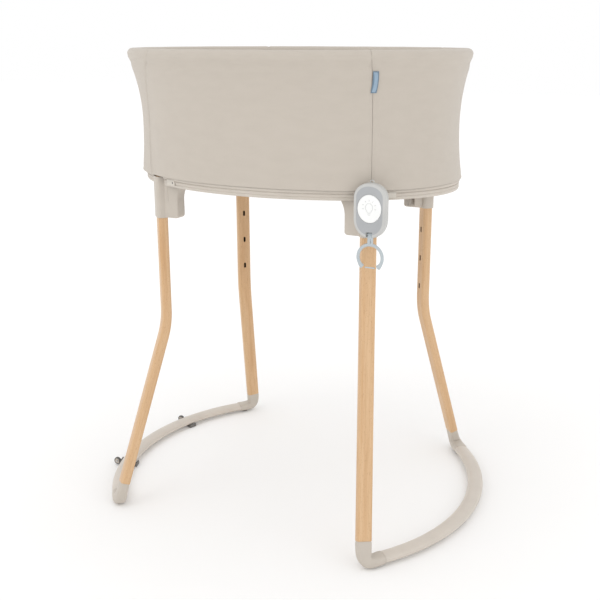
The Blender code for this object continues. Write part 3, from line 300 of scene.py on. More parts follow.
# ---------------------------------------------------------------- mesh helpers
def write_lie(mesh, values):
    """Stores where each vertex lies on the flat material."""
    attribute = mesh.attributes.new("lie", "FLOAT_VECTOR", "POINT")
    attribute.data.foreach_set("vector", np.asarray(values, np.float32).ravel())


def finish_piece(piece, material, body, replaces=()):
    piece.data.materials.clear()
    piece.data.materials.append(material)
    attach(piece, body)
    if replaces:
        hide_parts(*replaces)
    return piece


def outward_faces(mesh):
    """Turns all faces to point out of a closed mesh."""
    data = bmesh.new()
    data.from_mesh(mesh)
    bmesh.ops.recalc_face_normals(data, faces=data.faces)
    data.to_mesh(mesh)
    data.free()


def skin(name, rings, cyclic=False, lie=None, sharp=38, thin=False):
    """A closed mesh through rings of points; cyclic joins the ends, thin caps them as strips."""
    points = np.asarray([[tuple(p) for p in ring] for ring in rings], float)
    count, size = points.shape[:2]
    last = count if cyclic else count - 1
    faces = []
    for i in range(last):
        j = (i + 1) % count
        for k in range(size):
            m = (k + 1) % size
            faces.append((i * size + k, i * size + m, j * size + m, j * size + k))
    for base in () if cyclic else (0, (count - 1) * size):
        if thin:
            faces += [(base + k, base + k + 1, base + size - 2 - k, base + size - 1 - k)
                      for k in range(size // 2 - 1)]
        else:
            faces.append(tuple(range(base, base + size)))
    mesh = bpy.data.meshes.new(name)
    mesh.from_pydata(points.reshape(-1, 3).tolist(), [], faces)
    outward_faces(mesh)
    if lie is not None:
        write_lie(mesh, np.asarray(lie, float).reshape(-1, 3))
    mesh.shade_smooth()
    mesh.set_sharp_from_angle(angle=radians(sharp))
    piece = bpy.data.objects.new(name, mesh)
    bpy.context.scene.collection.objects.link(piece)
    return piece


def carve(piece, cutters=(), joins=(), sharp=38):
    """Applies exact unions and cuts, then removes the helper objects."""
    for operation, helpers in (("UNION", joins), ("DIFFERENCE", cutters)):
        for helper in helpers:
            modifier = piece.modifiers.new(operation.lower(), "BOOLEAN")
            modifier.operation, modifier.solver, modifier.object = operation, "EXACT", helper
    bpy.context.view_layer.update()
    mesh = bpy.data.meshes.new_from_object(piece.evaluated_get(bpy.context.evaluated_depsgraph_get()))
    piece.modifiers.clear()
    piece.data = mesh
    for helper in (*joins, *cutters):
        bpy.data.objects.remove(helper, do_unlink=True)
    mesh.shade_smooth()
    mesh.set_sharp_from_angle(angle=radians(sharp))
    return piece


def rounded_section(half_a, half_b, corner, steps=7):
    """A rectangle with round corners, as (a, b) pairs."""
    centre_a, centre_b = half_a - corner, half_b - corner
    points = []
    for quarter, (sign_a, sign_b) in enumerate(((1, 1), (-1, 1), (-1, -1), (1, -1))):
        for step in range(steps + 1):
            turn = (quarter + step / steps) * pi / 2
            points.append((sign_a * centre_a + corner * cos(turn), sign_b * centre_b + corner * sin(turn)))
    return points


def oval_section(half_a, half_b, count):
    return [(half_a * cos(2 * pi * i / count), half_b * sin(2 * pi * i / count)) for i in range(count)]


def place_section(section, centre, axis_a, axis_b):
    return [centre + axis_a * a + axis_b * b for a, b in section]


def axes_for(direction, hint):
    forward = direction.normalized()
    first = (hint - forward * hint.dot(forward)).normalized()
    return first, forward.cross(first)


def tube(name, path, radius, sides=16, grow=None):
    """A round tube along a list of points; grow gives a factor for each point."""
    path = [Vector(p) for p in path]
    rings = []
    hint = UP
    for i, here in enumerate(path):
        direction = (path[min(i + 1, len(path) - 1)] - path[max(i - 1, 0)]).normalized()
        if abs(direction.dot(hint)) > 0.95:
            hint = RIGHT
        first, second = axes_for(direction, hint)
        size = radius * (grow[i] if grow else 1.0)
        rings.append(place_section(oval_section(size, size, sides), here, first, second))
    return skin(name, rings)


def upright_rings(section, x, y, heights):
    """The same section at several heights over one spot."""
    return [place_section(section, Vector((x, y, z)), RIGHT, BACK) for z in heights]


def block(name, low, high, corner=0.0):
    """An upright block; its vertical edges are round when a corner radius is given."""
    middle = (Vector(low) + Vector(high)) / 2
    half = (Vector(high) - Vector(low)) / 2
    section = [(half.x, half.y), (-half.x, half.y), (-half.x, -half.y), (half.x, -half.y)]
    if corner:
        section = rounded_section(half.x, half.y, corner, 5)
    return skin(name, upright_rings(section, middle.x, middle.y, (low[2], high[2])))


# ---------------------------------------------------------------- plan curves
def power(value, exponent):
    return abs(value) ** exponent * (1 if value >= 0 else -1)


def plan_point(half_x, half_y, turn, fullness=FULLNESS):
    return Vector((half_x * power(cos(turn), 2 / fullness), half_y * power(sin(turn), 2 / fullness), 0))


def normal_at(half_x, half_y, turn, fullness=FULLNESS):
    step = 0.001
    ahead = plan_point(half_x, half_y, turn + step, fullness)
    behind = plan_point(half_x, half_y, turn - step, fullness)
    tangent = (ahead - behind).normalized()
    return tangent, Vector((tangent.y, -tangent.x, 0))


def side_shape(z):
    """Half length and half depth of the outer cover at one height: narrow waist, flared rim."""
    if z < WAIST_Z:
        share = (WAIST_Z - z) / (WAIST_Z - HEM_Z)
        return WAIST_A + (HEM_A - WAIST_A) * share ** 2, WAIST_B + (HEM_B - WAIST_B) * share ** 2
    share = (z - WAIST_Z) / (RIM_Z - 0.4 * RIM_OUTER - WAIST_Z)
    flare_a = RIM_A + 0.92 * RIM_OUTER - WAIST_A
    flare_b = RIM_B + 0.92 * RIM_OUTER - WAIST_B
    return WAIST_A + flare_a * share ** 2, WAIST_B + flare_b * share ** 2


def seam_turn(corner, z):
    """Where a seam crosses one height: upright up to the waist, drifting as the cover flares."""
    low, high = SEAM_DRIFT[corner]
    share = min(1.0, max(0.0, (z - WAIST_Z) / (RIM_Z - WAIST_Z)))
    return radians(low + (high - low) * share ** 2)


def meet_oval(start, direction, half_x, half_y):
    """Where a line in plan from a start point crosses the oval, found by halving."""
    low, high = -0.10, 0.06
    for _ in range(26):
        middle = (low + high) / 2
        point = start + direction * middle
        inside = abs(point.x / half_x) ** FULLNESS + abs(point.y / half_y) ** FULLNESS < 1
        low, high = (middle, high) if inside else (low, middle)
    return start + direction * (low + high) / 2


def soft_noise(point, scale, seed):
    return noise.noise(Vector(point) * scale + Vector((seed, seed * 0.37, -seed)))


def hump(distance, height, width):
    """A smooth ridge of the given height that fades within about twice its width."""
    return height * exp(-(distance / width) ** 2)


# ---------------------------------------------------------------- basket: cover, bands, liner, mattress
PANEL_STATIONS = 72
BAND_LEAN = 0.6
# Smooth ridges and hollows in the cloth, as (height, width), and how far from a seam two of them lie.
SEAM_PINCH, SEAM_ROLL, SEAM_DIP = (0.0010, 0.0024), (0.0005, 0.0030), (0.0012, 0.0140)
ROLL_OUT, DIP_OUT = 0.0065, 0.0160
RIM_CREASE, RIM_SWELL, HEM_DENT = (0.0015, 0.0050), (0.0004, 0.0080), (0.0004, 0.0012)


def cover_levels():
    """Outer profile: heights up the side, then angles over the rim and a little way under it."""
    top = RIM_Z - 0.42 * RIM_OUTER - 0.0015
    heights = [HEM_Z + (top - HEM_Z) * i / 40 for i in range(41)]
    angles = [radians(245) * i / 26 for i in range(1, 27)]
    return heights, angles


def make_cover_panel(side, first, last, wrap):
    """One sewn panel as a thin shell: pinched at its seams, drawn in below the padded rim."""
    heights, angles = cover_levels()
    seam_gap, most_out = 0.00030, 0.0011
    crease_z, swell_z, hem_z = RIM_Z - 0.0155, RIM_Z - 0.030, HEM_Z + 0.0055
    rings, lies = [], []
    travelled = 0.0
    previous = None

    def station(share, z):
        begin, end = seam_turn(first, z), seam_turn(last, z) + wrap
        turn = begin + (end - begin) * share
        return plan_point(RIM_A, RIM_B, turn), *normal_at(RIM_A, RIM_B, turn)

    for step in range(PANEL_STATIONS + 1):
        even = step / PANEL_STATIONS
        share = even - 0.06 * sin(2 * pi * even) / pi
        rim_centre, tangent, normal = station(share, RIM_Z)
        travelled += (rim_centre - previous).length if previous else 0.0
        previous = rim_centre
        width = (seam_turn(last, RIM_Z) + wrap - seam_turn(first, RIM_Z)) * (RIM_A + RIM_B) / 2
        from_seam = min(share, 1 - share) * width
        pinch = hump(from_seam, *SEAM_PINCH)
        roll = hump(from_seam - ROLL_OUT, *SEAM_ROLL)
        dip = hump(from_seam - DIP_OUT, *SEAM_DIP)
        shift = seam_gap if step == 0 else -seam_gap if step == PANEL_STATIONS else 0.0
        outer, inner, ups = [], [], []
        climbed = 0.0
        before = None
        for z in heights:
            start, along, normal = station(share, z)
            point = meet_oval(start, normal, *side_shape(z)) + UP * z
            level = (z - HEM_Z) / (RIM_Z - HEM_Z)
            calm = min(1.0, level * 6) * min(1.0, from_seam / 0.02)
            wave = 0.0008 * soft_noise((point.x, point.y, point.z * 0.6), 9.0, 3.1)
            pull = 0.00022 * sin(level * 70 + 3 * soft_noise(point, 14.0, 7.7)) * exp(-from_seam / 0.02)
            crease = hump(z - crease_z, *RIM_CREASE)
            swell = hump(z - swell_z, *RIM_SWELL)
            hem = hump(z - hem_z, *HEM_DENT)
            offset = wave * calm + pull * min(1.0, level * 5) - crease + swell - pinch + roll - hem
            offset -= dip * (1 - level) ** 0.6
            point = point + normal * min(offset, most_out) + along * shift
            climbed += (point - before).length if before else 0.0
            before = point
            outer.append(point)
            inner.append(point - normal * COVER_WALL)
            ups.append(climbed)
        centre = rim_centre + UP * RIM_Z + tangent * shift
        normal = station(share, RIM_Z)[2]
        for angle in angles:
            direction = normal * cos(angle) + UP * sin(angle)
            ripple = 0.00030 * soft_noise((rim_centre.x, rim_centre.y, angle * 0.02), 22.0, 5.5)
            radius = RIM_OUTER + ripple - pinch * 0.8 + roll * 0.4
            point = centre + direction * radius
            climbed += (point - before).length
            before = point
            outer.append(point)
            inner.append(centre + direction * (radius - COVER_WALL))
            ups.append(climbed)
        rings.append(outer + inner[::-1])
        lies.append([(travelled, up, 0.0) for up in ups] + [(travelled, up, COVER_WALL) for up in ups[::-1]])
    panel = skin("cover_" + side, rings, lie=lies, sharp=50, thin=True)
    finish_piece(panel, FABRIC, "basket", ["cover_panel_" + side])
    return panel


def seam_path(corner, aside, lift, low, high, count):
    """Points beside one seam, on the cover's outside."""
    path = []
    for i in range(count + 1):
        z = low + (high - low) * i / count
        turn = seam_turn(corner, z)
        rim_centre = plan_point(RIM_A, RIM_B, turn)
        tangent, normal = normal_at(RIM_A, RIM_B, turn)
        path.append(meet_oval(rim_centre + tangent * aside, normal, *side_shape(z)) + UP * z + normal * lift)
    return path


def make_stitches():
    """Topstitch runs beside each seam."""
    low, high = HEM_Z + 0.004, RIM_Z - 0.012
    pitch, length, radius = 0.0034, 0.0023, 0.00028
    for corner in CORNERS:
        data = bmesh.new()
        for aside in (-0.0042, 0.0042):
            path = seam_path(corner, aside, -0.0003, low, high, int((high - low) / pitch))
            for start, end in zip(path, path[1:]):
                add_stitch(data, start, start + (end - start).normalized() * length, radius)
        stitch_object("seam_stitches_" + corner, data)


def add_stitch(data, start, end, radius):
    """One short thread lying on the cloth, pointed at both ends."""
    first, second = axes_for(end - start, Vector((start.x, start.y, 0.0)))
    rings = []
    for share, size in ((0.0, 0.35), (0.2, 1.0), (0.8, 1.0), (1.0, 0.35)):
        centre = start.lerp(end, share)
        rings.append([data.verts.new(centre + first * a + second * b)
                      for a, b in oval_section(radius * size, radius * size, 6)])
    for low, high in zip(rings, rings[1:]):
        for k in range(6):
            m = (k + 1) % 6
            data.faces.new((low[k], low[m], high[m], high[k]))
    data.faces.new(rings[0][::-1])
    data.faces.new(rings[-1])


def stitch_object(name, data):
    bmesh.ops.recalc_face_normals(data, faces=data.faces)
    mesh = bpy.data.meshes.new(name)
    data.to_mesh(mesh)
    data.free()
    mesh.shade_smooth()
    write_lie(mesh, [v.co for v in mesh.vertices])
    piece = bpy.data.objects.new(name, mesh)
    bpy.context.scene.collection.objects.link(piece)
    return finish_piece(piece, BAND_FABRIC, "basket")


def band_profile():
    """Outer side of the zip band, bottom to top: (height share, outward offset)."""
    return [(0.0, -0.0004), (0.02, 0.0003), (0.08, 0.0008), (0.18, 0.0010), (0.27, 0.0008), (0.31, 0.0001),
            (0.33, -0.0004), (0.36, 0.0001), (0.42, 0.0003), (0.56, 0.0003), (0.60, -0.0001), (0.62, -0.0008),
            (0.68, -0.0008), (0.70, 0.0002), (0.76, 0.0007), (0.90, 0.0008), (0.97, 0.0004), (1.0, -0.0002)]


def make_hem_band(side, centre_turn, limit):
    """Zip tape, coil groove and bound edge that close the cover between two brackets."""
    steps = 90
    low, high = BAND_LOW.z, BAND_HIGH.z
    profile = band_profile()
    rings, lies = [], []
    travelled, previous = 0.0, None
    ripple = 0.0002
    for step in range(steps + 1):
        turn = centre_turn - limit + 2 * limit * step / steps
        outer = plan_point(BAND_A, BAND_B, turn, 2.0)
        lean = plan_point(HEM_A, HEM_B, turn, 2.0) - outer
        normal = normal_at(BAND_A, BAND_B, turn, 2.0)[1]
        travelled += (outer - previous).length if previous else 0.0
        previous = outer
        front = [outer + lean * BAND_LEAN * share + UP * (low + (high - low) * share)
                 + normal * (offset + ripple * soft_noise(outer, 60.0, 2.0)) for share, offset in profile]
        behind = outer - normal * BAND_WALL
        rings.append(front + [behind + lean * BAND_LEAN + UP * high, behind + UP * low])
        lies.append([(travelled, (high - low) * share, 0.0) for share, _ in profile]
                    + [(travelled, high - low, 0.002), (travelled, 0.0, 0.002)])
    band = skin("zip_band_" + side, rings, lie=lies, sharp=60)
    finish_piece(band, BAND_FABRIC, "basket", ["hem_band_" + side])
    make_zip_coil(side, centre_turn, limit)


def make_zip_coil(side, centre_turn, limit):
    """The zip's coil in the groove: a row of small oval teeth."""
    data = bmesh.new()
    groove, pitch, half_tooth, tooth_radius, sunk = 0.65, 0.0022, 0.0007, 0.00042, 0.0005
    z = BAND_LOW.z + groove * (BAND_HIGH.z - BAND_LOW.z)
    length = 2 * limit * (BAND_A + BAND_B) / 2
    count = int(length / pitch)
    reach = limit * 0.985
    for i in range(count):
        turn = centre_turn - reach + 2 * reach * (i + 0.5) / count
        outer = plan_point(BAND_A, BAND_B, turn, 2.0)
        normal = normal_at(BAND_A, BAND_B, turn, 2.0)[1]
        lean = (plan_point(HEM_A, HEM_B, turn, 2.0) - outer) * BAND_LEAN * groove
        middle = outer + lean - normal * sunk + UP * z
        add_stitch(data, middle - UP * half_tooth, middle + UP * half_tooth, tooth_radius)
    coil = stitch_object("zip_coil_" + side, data)
    coil.data.materials[0] = GREIGE


def make_band_tabs():
    """A folded tab over the zip's end near each bracket, with a rivet on the front left one."""
    side_turn, end_turn = asin((LEG_X - 0.0450) / BAND_A), asin((LEG_Y - 0.0215) / BAND_B)
    tab_z = BAND_LOW.z + 0.0098
    for name, turn, half_length in (
            ("zip_tab_front_left", -pi / 2 - side_turn, 0.0130), ("zip_tab_right_front", -end_turn, 0.0098),
            ("zip_tab_back_right", pi / 2 - side_turn, 0.0130), ("zip_tab_left_back", pi - end_turn, 0.0098)):
        centre = plan_point(BAND_A, BAND_B, turn, 2.0)
        centre += (plan_point(HEM_A, HEM_B, turn, 2.0) - centre) * BAND_LEAN * 0.5
        tangent, normal = normal_at(BAND_A, BAND_B, turn, 2.0)
        section = rounded_section(half_length, 0.0056, 0.0018, 5)
        rings, lies = [], []
        for depth, shrink in ((-0.0003, 1.0), (0.0012, 1.0), (0.0017, 0.93), (0.0018, 0.85)):
            ring = []
            for a, b in section:
                spot = centre + tangent * a * shrink
                bow = 0.0012 - 0.5 * a * a / 0.25
                ring.append(spot + normal * (bow + depth) + UP * (tab_z + b * shrink))
            rings.append(ring)
            lies.append([(a, b, depth) for a, b in section])
        tab = skin(name, rings, lie=lies)
        finish_piece(tab, TAB_FABRIC, "basket")
        if name != "zip_tab_front_left":
            continue
        spot = centre + tangent * half_length * 0.62 + UP * tab_z
        rings = []
        for out, radius in ((0.0028, 0.0016), (0.0032, 0.0016), (0.0036, 0.00112), (0.0037, 0.00048)):
            section = oval_section(radius, radius, 16)
            rings.append(place_section(section, spot + normal * out, tangent, UP))
        rivet = skin(name + "_rivet", rings)
        finish_piece(rivet, DARK_PLASTIC, "basket")


def liner_half(z):
    share = min(1.0, max(0.0, (z - LINER_FLARE_Z) / (RIM_Z - LINER_FLARE_Z)))
    clear = RIM_OUTER + 0.0004
    reach_a, reach_b = RIM_A - clear - LINER_A, RIM_B - clear - LINER_B
    return LINER_A + reach_a * share ** 2, LINER_B + reach_b * share ** 2, 2 + (FULLNESS - 2) * share


def make_liner():
    """The inner fabric tub: soft upright folds, a rounded foot, and a roll that meets the rim."""
    steps, floor, top = 160, LINER_FLOOR, RIM_Z + 0.002
    levels = [(floor, 0.0040), (floor + 0.0015, 0.0012), (floor + 0.004, 0.0)]
    levels += [(floor + 0.004 + (top - floor - 0.004) * i / 34, 0.0) for i in range(1, 35)]
    outer, inner, lie_out, lie_in = [], [], [], []
    climbed = 0.0
    for index, (z, trim) in enumerate(levels):
        half_x, half_y, fullness = liner_half(z)
        climbed += z - levels[index - 1][0] if index else 0.0
        level = (z - floor) / (top - floor)
        ring_out, ring_in, flat = [], [], []
        for i in range(steps):
            turn = 2 * pi * i / steps
            base = plan_point(half_x - trim, half_y - trim, turn, fullness)
            normal = normal_at(half_x, half_y, turn, fullness)[1]
            slack = sin(pi * min(1.0, level * 1.15)) ** 0.7
            fold = 0.0012 * soft_noise((base.x, base.y, z * 0.25), 16.0, 1.4) * slack
            fold += 0.0004 * sin(level * 40 + turn * 9) * max(0.0, 1 - abs(level - 0.2) * 6)
            push = min(fold, 0.0006) if level > 0.9 else fold
            ring_out.append(base + normal * push + UP * z)
            ring_in.append(base + normal * (push - LINER_WALL) + UP * max(z, floor + LINER_WALL))
            flat.append((turn * (half_x + half_y) / 2, climbed, 0.0))
        outer.append(ring_out)
        inner.append(ring_in)
        lie_out.append(flat)
        lie_in.append([(x, y, LINER_WALL) for x, y, _ in flat])
    liner = skin("liner_tub", outer + inner[::-1], lie=lie_out + lie_in[::-1], sharp=50)
    finish_piece(liner, LINER_FABRIC, "basket", ["inner_liner"])


def make_mattress():
    """A quilted pad: crowned top, soft rounded sides and piping round both edges."""
    low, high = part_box("mattress")
    half_x, half_y = high.x, high.y
    rings, lies = [], []
    around, across = 150, 30
    tall = high.z - low.z
    crown_high, pipe_radius = 0.0050, 0.0016

    def quilt(x, y):
        pitch = 0.052
        s, t = (x + y) / pitch, (x - y) / pitch
        line = min(abs(s - round(s)), abs(t - round(t))) * pitch
        return -hump(line, 0.0020, 0.0055)

    def ring(scale_x, scale_y, z, dip):
        points, flat = [], []
        for i in range(around):
            spot = plan_point(scale_x, scale_y, 2 * pi * i / around, 2.0)
            lift = quilt(spot.x, spot.y) * dip + 0.0007 * soft_noise((spot.x, spot.y, z), 24.0, 8.2)
            points.append(spot + UP * (z + lift))
            flat.append((spot.x, spot.y + z, 0.0))
        rings.append(points)
        lies.append(flat)

    for i in range(1, across + 1):
        share = i / across
        ring(half_x * share * 0.985, half_y * share * 0.975, low.z + 0.0012 * (1 - share), 0.0)
    for share in (0.06, 0.16, 0.3, 0.5, 0.7, 0.84, 0.94):
        z = low.z + tall * share
        level = (z - low.z) / tall
        pull = 0.0005 + 0.0030 * (2 * level - 1) ** 4 - 0.0012 * sin(pi * level)
        ring(half_x - pull, half_y - pull, z, 0.0)
    for i in range(across, 0, -1):
        share = i / across
        z = high.z - 0.0008 + crown_high * (1 - share ** 4)
        ring(half_x * share * 0.985, half_y * share * 0.975, z, min(1.0, (1 - share) * 12))
    pad = skin("mattress_pad", rings, lie=lies, sharp=70)
    finish_piece(pad, MATTRESS_FABRIC, "mattress", ["mattress"])
    for name, z in (("low", low.z + 0.0022), ("high", high.z - pipe_radius)):
        path = [plan_point(half_x - pipe_radius, half_y - pipe_radius, 2 * pi * i / around, 2.0) + UP * z
                for i in range(around)]
        rings = []
        for i, here in enumerate(path):
            direction = path[(i + 1) % around] - path[i - 1]
            first, second = axes_for(direction, UP)
            rings.append(place_section(oval_section(pipe_radius, pipe_radius, 10), here, first, second))
        piping = skin("mattress_piping_" + name, rings, cyclic=True,
                      lie=[[(i * 0.01, k * 0.001, 0.0) for k in range(10)] for i in range(around)])
        finish_piece(piping, MATTRESS_FABRIC, "mattress")


def make_tag():
    """A folded woven label that stands a little off the seam, with a pale field inside its border."""
    low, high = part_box("label_tag")
    turn = seam_turn("front_right", (low.z + high.z) / 2)
    tangent, normal = normal_at(RIM_A, RIM_B, turn)
    start = plan_point(RIM_A, RIM_B, turn) - tangent * 0.0020
    width, steps, across = 0.0104, 26, 8
    for name, inset, lift, thick, material in (("label_woven", 0.0, 0.0006, 0.0009, TAG_FABRIC),
                                               ("label_field", 0.0017, 0.0016, 0.0002, TAG_LIGHT)):
        rings, lies = [], []
        for i in range(steps + 1):
            share = i / steps
            z = low.z + inset + (high.z - low.z - 2 * inset) * share
            here = meet_oval(start, normal, *side_shape(z)) + UP * z
            bow = 0.0011 * sin(pi * share)
            front, back, flat = [], [], []
            for k in range(across + 1):
                along = inset + (width - 2 * inset) * k / across + 0.0012 * sin(pi * share)
                curl = 0.0006 * sin(pi * k / across)
                front.append(here + tangent * along + normal * (lift + thick + curl + bow * k / across))
                back.append(here + tangent * along + normal * (lift + curl + bow * k / across))
                flat.append((along, z, 0.0))
            rings.append(front + back[::-1])
            lies.append(flat + flat[::-1])
        tag = skin(name, rings, lie=lies)
        finish_piece(tag, material, "basket", ["label_tag"] if name == "label_woven" else ())


# ---------------------------------------------------------------- stand
def leg_frame(sx, sy):
    outward = Vector((sx * cos(SECTION_TURN), sy * sin(SECTION_TURN), 0))
    sideways = Vector((-sx * sin(SECTION_TURN), sy * cos(SECTION_TURN), 0))
    return outward, sideways


def knee_and_joint(sx, sy):
    return Vector((sx * LEG_X, sy * LEG_Y, KNEE_Z)), Vector((sx * JOINT[0], sy * JOINT[1], JOINT[2]))


def leg_line(sx, sy):
    """Stations down a leg: centre, direction and whether the section is the thin tenon."""
    knee, joint = knee_and_joint(sx, sy)
    splay, down = (joint - knee).normalized(), -UP
    begin, end = knee - down * KNEE_BLEND, knee + splay * KNEE_BLEND
    top = Vector((knee.x, knee.y, LEG_TOP))
    line = [(top.lerp(begin, i / 8), down) for i in range(8)]
    for step in range(17):
        t = step / 16
        centre = begin * (1 - t) ** 2 + knee * 2 * t * (1 - t) + end * t ** 2
        line.append((centre, down * (1 - t) + splay * t))
    line += [(end.lerp(joint, i / 8), splay) for i in range(1, 9)]
    return line, joint, splay


def make_leg(name, sx, sy):
    """A bent beech leg with eased edges, four latch slots painted dark inside as shade, and a tenon."""
    outward, sideways = leg_frame(sx, sy)
    line, joint, splay = leg_line(sx, sy)

    def ring(centre, direction, inset, corner):
        side, out = axes_for(direction, sideways)
        out = -out if out.dot(outward) < 0 else out
        section = rounded_section(LEG_WIDE / 2 - inset, LEG_THICK / 2 - inset, corner)
        return place_section(section, centre, side, out)

    top, down = line[0]
    rings = [ring(top, down, 0.0012, LEG_CORNER - 0.0012), ring(top + down * 0.0012, down, 0.0, LEG_CORNER)]
    rings += [ring(centre, direction, 0.0, LEG_CORNER) for centre, direction in line[1:]]
    thin = LEG_CORNER - TENON_STEP
    rings += [ring(joint + splay * reach, splay, TENON_STEP, thin) for reach in (0.0, TENON_LENGTH)]
    leg = skin("wood_leg_" + name, rings, sharp=32)
    cutters = []
    for index in range(SLOT_COUNT):
        height = SLOT_TOP_Z - index * SLOT_PITCH
        face = Vector((sx * LEG_X, sy * LEG_Y, height)) - outward * (LEG_THICK / 2)
        section = rounded_section(SLOT_WIDE / 2, SLOT_TALL / 2, SLOT_WIDE / 2 - 0.0001)
        cutters.append(skin("slot_cutter", [place_section(section, face + outward * d, sideways, UP)
                                            for d in (-0.003, SLOT_DEEP)]))
    carve(leg, cutters, sharp=32)
    write_grain(leg.data, line, sideways, outward, sx * 3.1 + sy * 1.7)
    finish_piece(leg, WOOD, "stand", ["leg_" + name])
    # painted shade: the walls and floor of each latch slot take the dark slot material
    leg.data.materials.append(SLOT_PAINTED_SHADE)
    for face in leg.data.polygons:
        depth = (Vector((sx * LEG_X, sy * LEG_Y, 0)) - face.center).dot(outward)
        straight, sunk = face.center.z > KNEE_Z + KNEE_BLEND, depth < LEG_THICK / 2 - 0.002
        if straight and sunk and inside_slot(face, sx, sy, sideways):
            face.material_index = 1


def inside_slot(face, sx, sy, sideways):
    """True for the walls and floor of a latch slot."""
    offset = face.center - Vector((sx * LEG_X, sy * LEG_Y, SLOT_TOP_Z))
    step = round(-offset.z / SLOT_PITCH)
    near = abs(offset.z + step * SLOT_PITCH) <= SLOT_TALL / 2 + 0.0001
    outward = leg_frame(sx, sy)[0]
    return near and abs(offset.dot(sideways)) <= SLOT_WIDE / 2 + 0.0001 and offset.dot(outward) < SLOT_DEEP


def write_grain(mesh, line, sideways, outward, seed):
    """Grain coordinates that follow the bend: across, through and along the wood."""
    centres = np.array([c for c, _ in line])
    lengths = np.concatenate([[0.0], np.cumsum(np.linalg.norm(np.diff(centres, axis=0), axis=1))])
    points = np.array([v.co for v in mesh.vertices])
    best = np.full(len(points), 1e9)
    along, nearest = np.zeros(len(points)), np.zeros((len(points), 3))
    for i in range(len(centres) - 1):
        span = centres[i + 1] - centres[i]
        least, most = -0.2 if i == 0 else 0, 9 if i == len(centres) - 2 else 1
        share = np.clip((points - centres[i]) @ span / (span @ span), least, most)
        foot = centres[i] + share[:, None] * span
        gap = np.linalg.norm(points - foot, axis=1)
        closer = gap < best
        best[closer], nearest[closer] = gap[closer], foot[closer]
        along[closer] = (lengths[i] + share * np.linalg.norm(span))[closer]
    offset = points - nearest
    across, through = offset @ np.array(sideways), offset @ np.array(outward)
    write_lie(mesh, np.stack([across + seed, through + seed, along + seed], 1))


def arc_point(sx, turn):
    return Vector((sx * (ARC_RADIUS * cos(turn) - ARC_OFFSET), ARC_RADIUS * sin(turn), RAIL_Z))


def arc_axes(sx, turn):
    return Vector((sx * cos(turn), sin(turn), 0)), Vector((-sx * sin(turn), cos(turn), 0))


def rail_section(inset):
    return oval_section(RAIL_WIDE / 2 - inset, RAIL_TALL / 2 - inset, 40)


def make_rail(name, sx):
    """An arched flat-oval rail with eased ends and a spigot at each end."""
    steps = 72
    full, thin, eased = rail_section(0.0), rail_section(SPIGOT_STEP), rail_section(LIP)
    half = RAIL_ANGLE - GAP / ARC_RADIUS
    tip, ease = half + SPIGOT_LENGTH / ARC_RADIUS, LIP / ARC_RADIUS
    stations = [(-tip, thin), (-half, thin), (-half, eased)]
    stations += [(-(half - ease) + 2 * (half - ease) * i / steps, full) for i in range(steps + 1)]
    stations += [(half, eased), (half, thin), (tip, thin)]
    rail = skin("floor_rail_" + name, [place_section(section, arc_point(sx, turn), arc_axes(sx, turn)[0], UP)
                                       for turn, section in stations])
    # painted light: the rail gets the lighter copy of the greige
    finish_piece(rail, RAIL_GREIGE_LIT, "stand", ["base_rail_" + name])


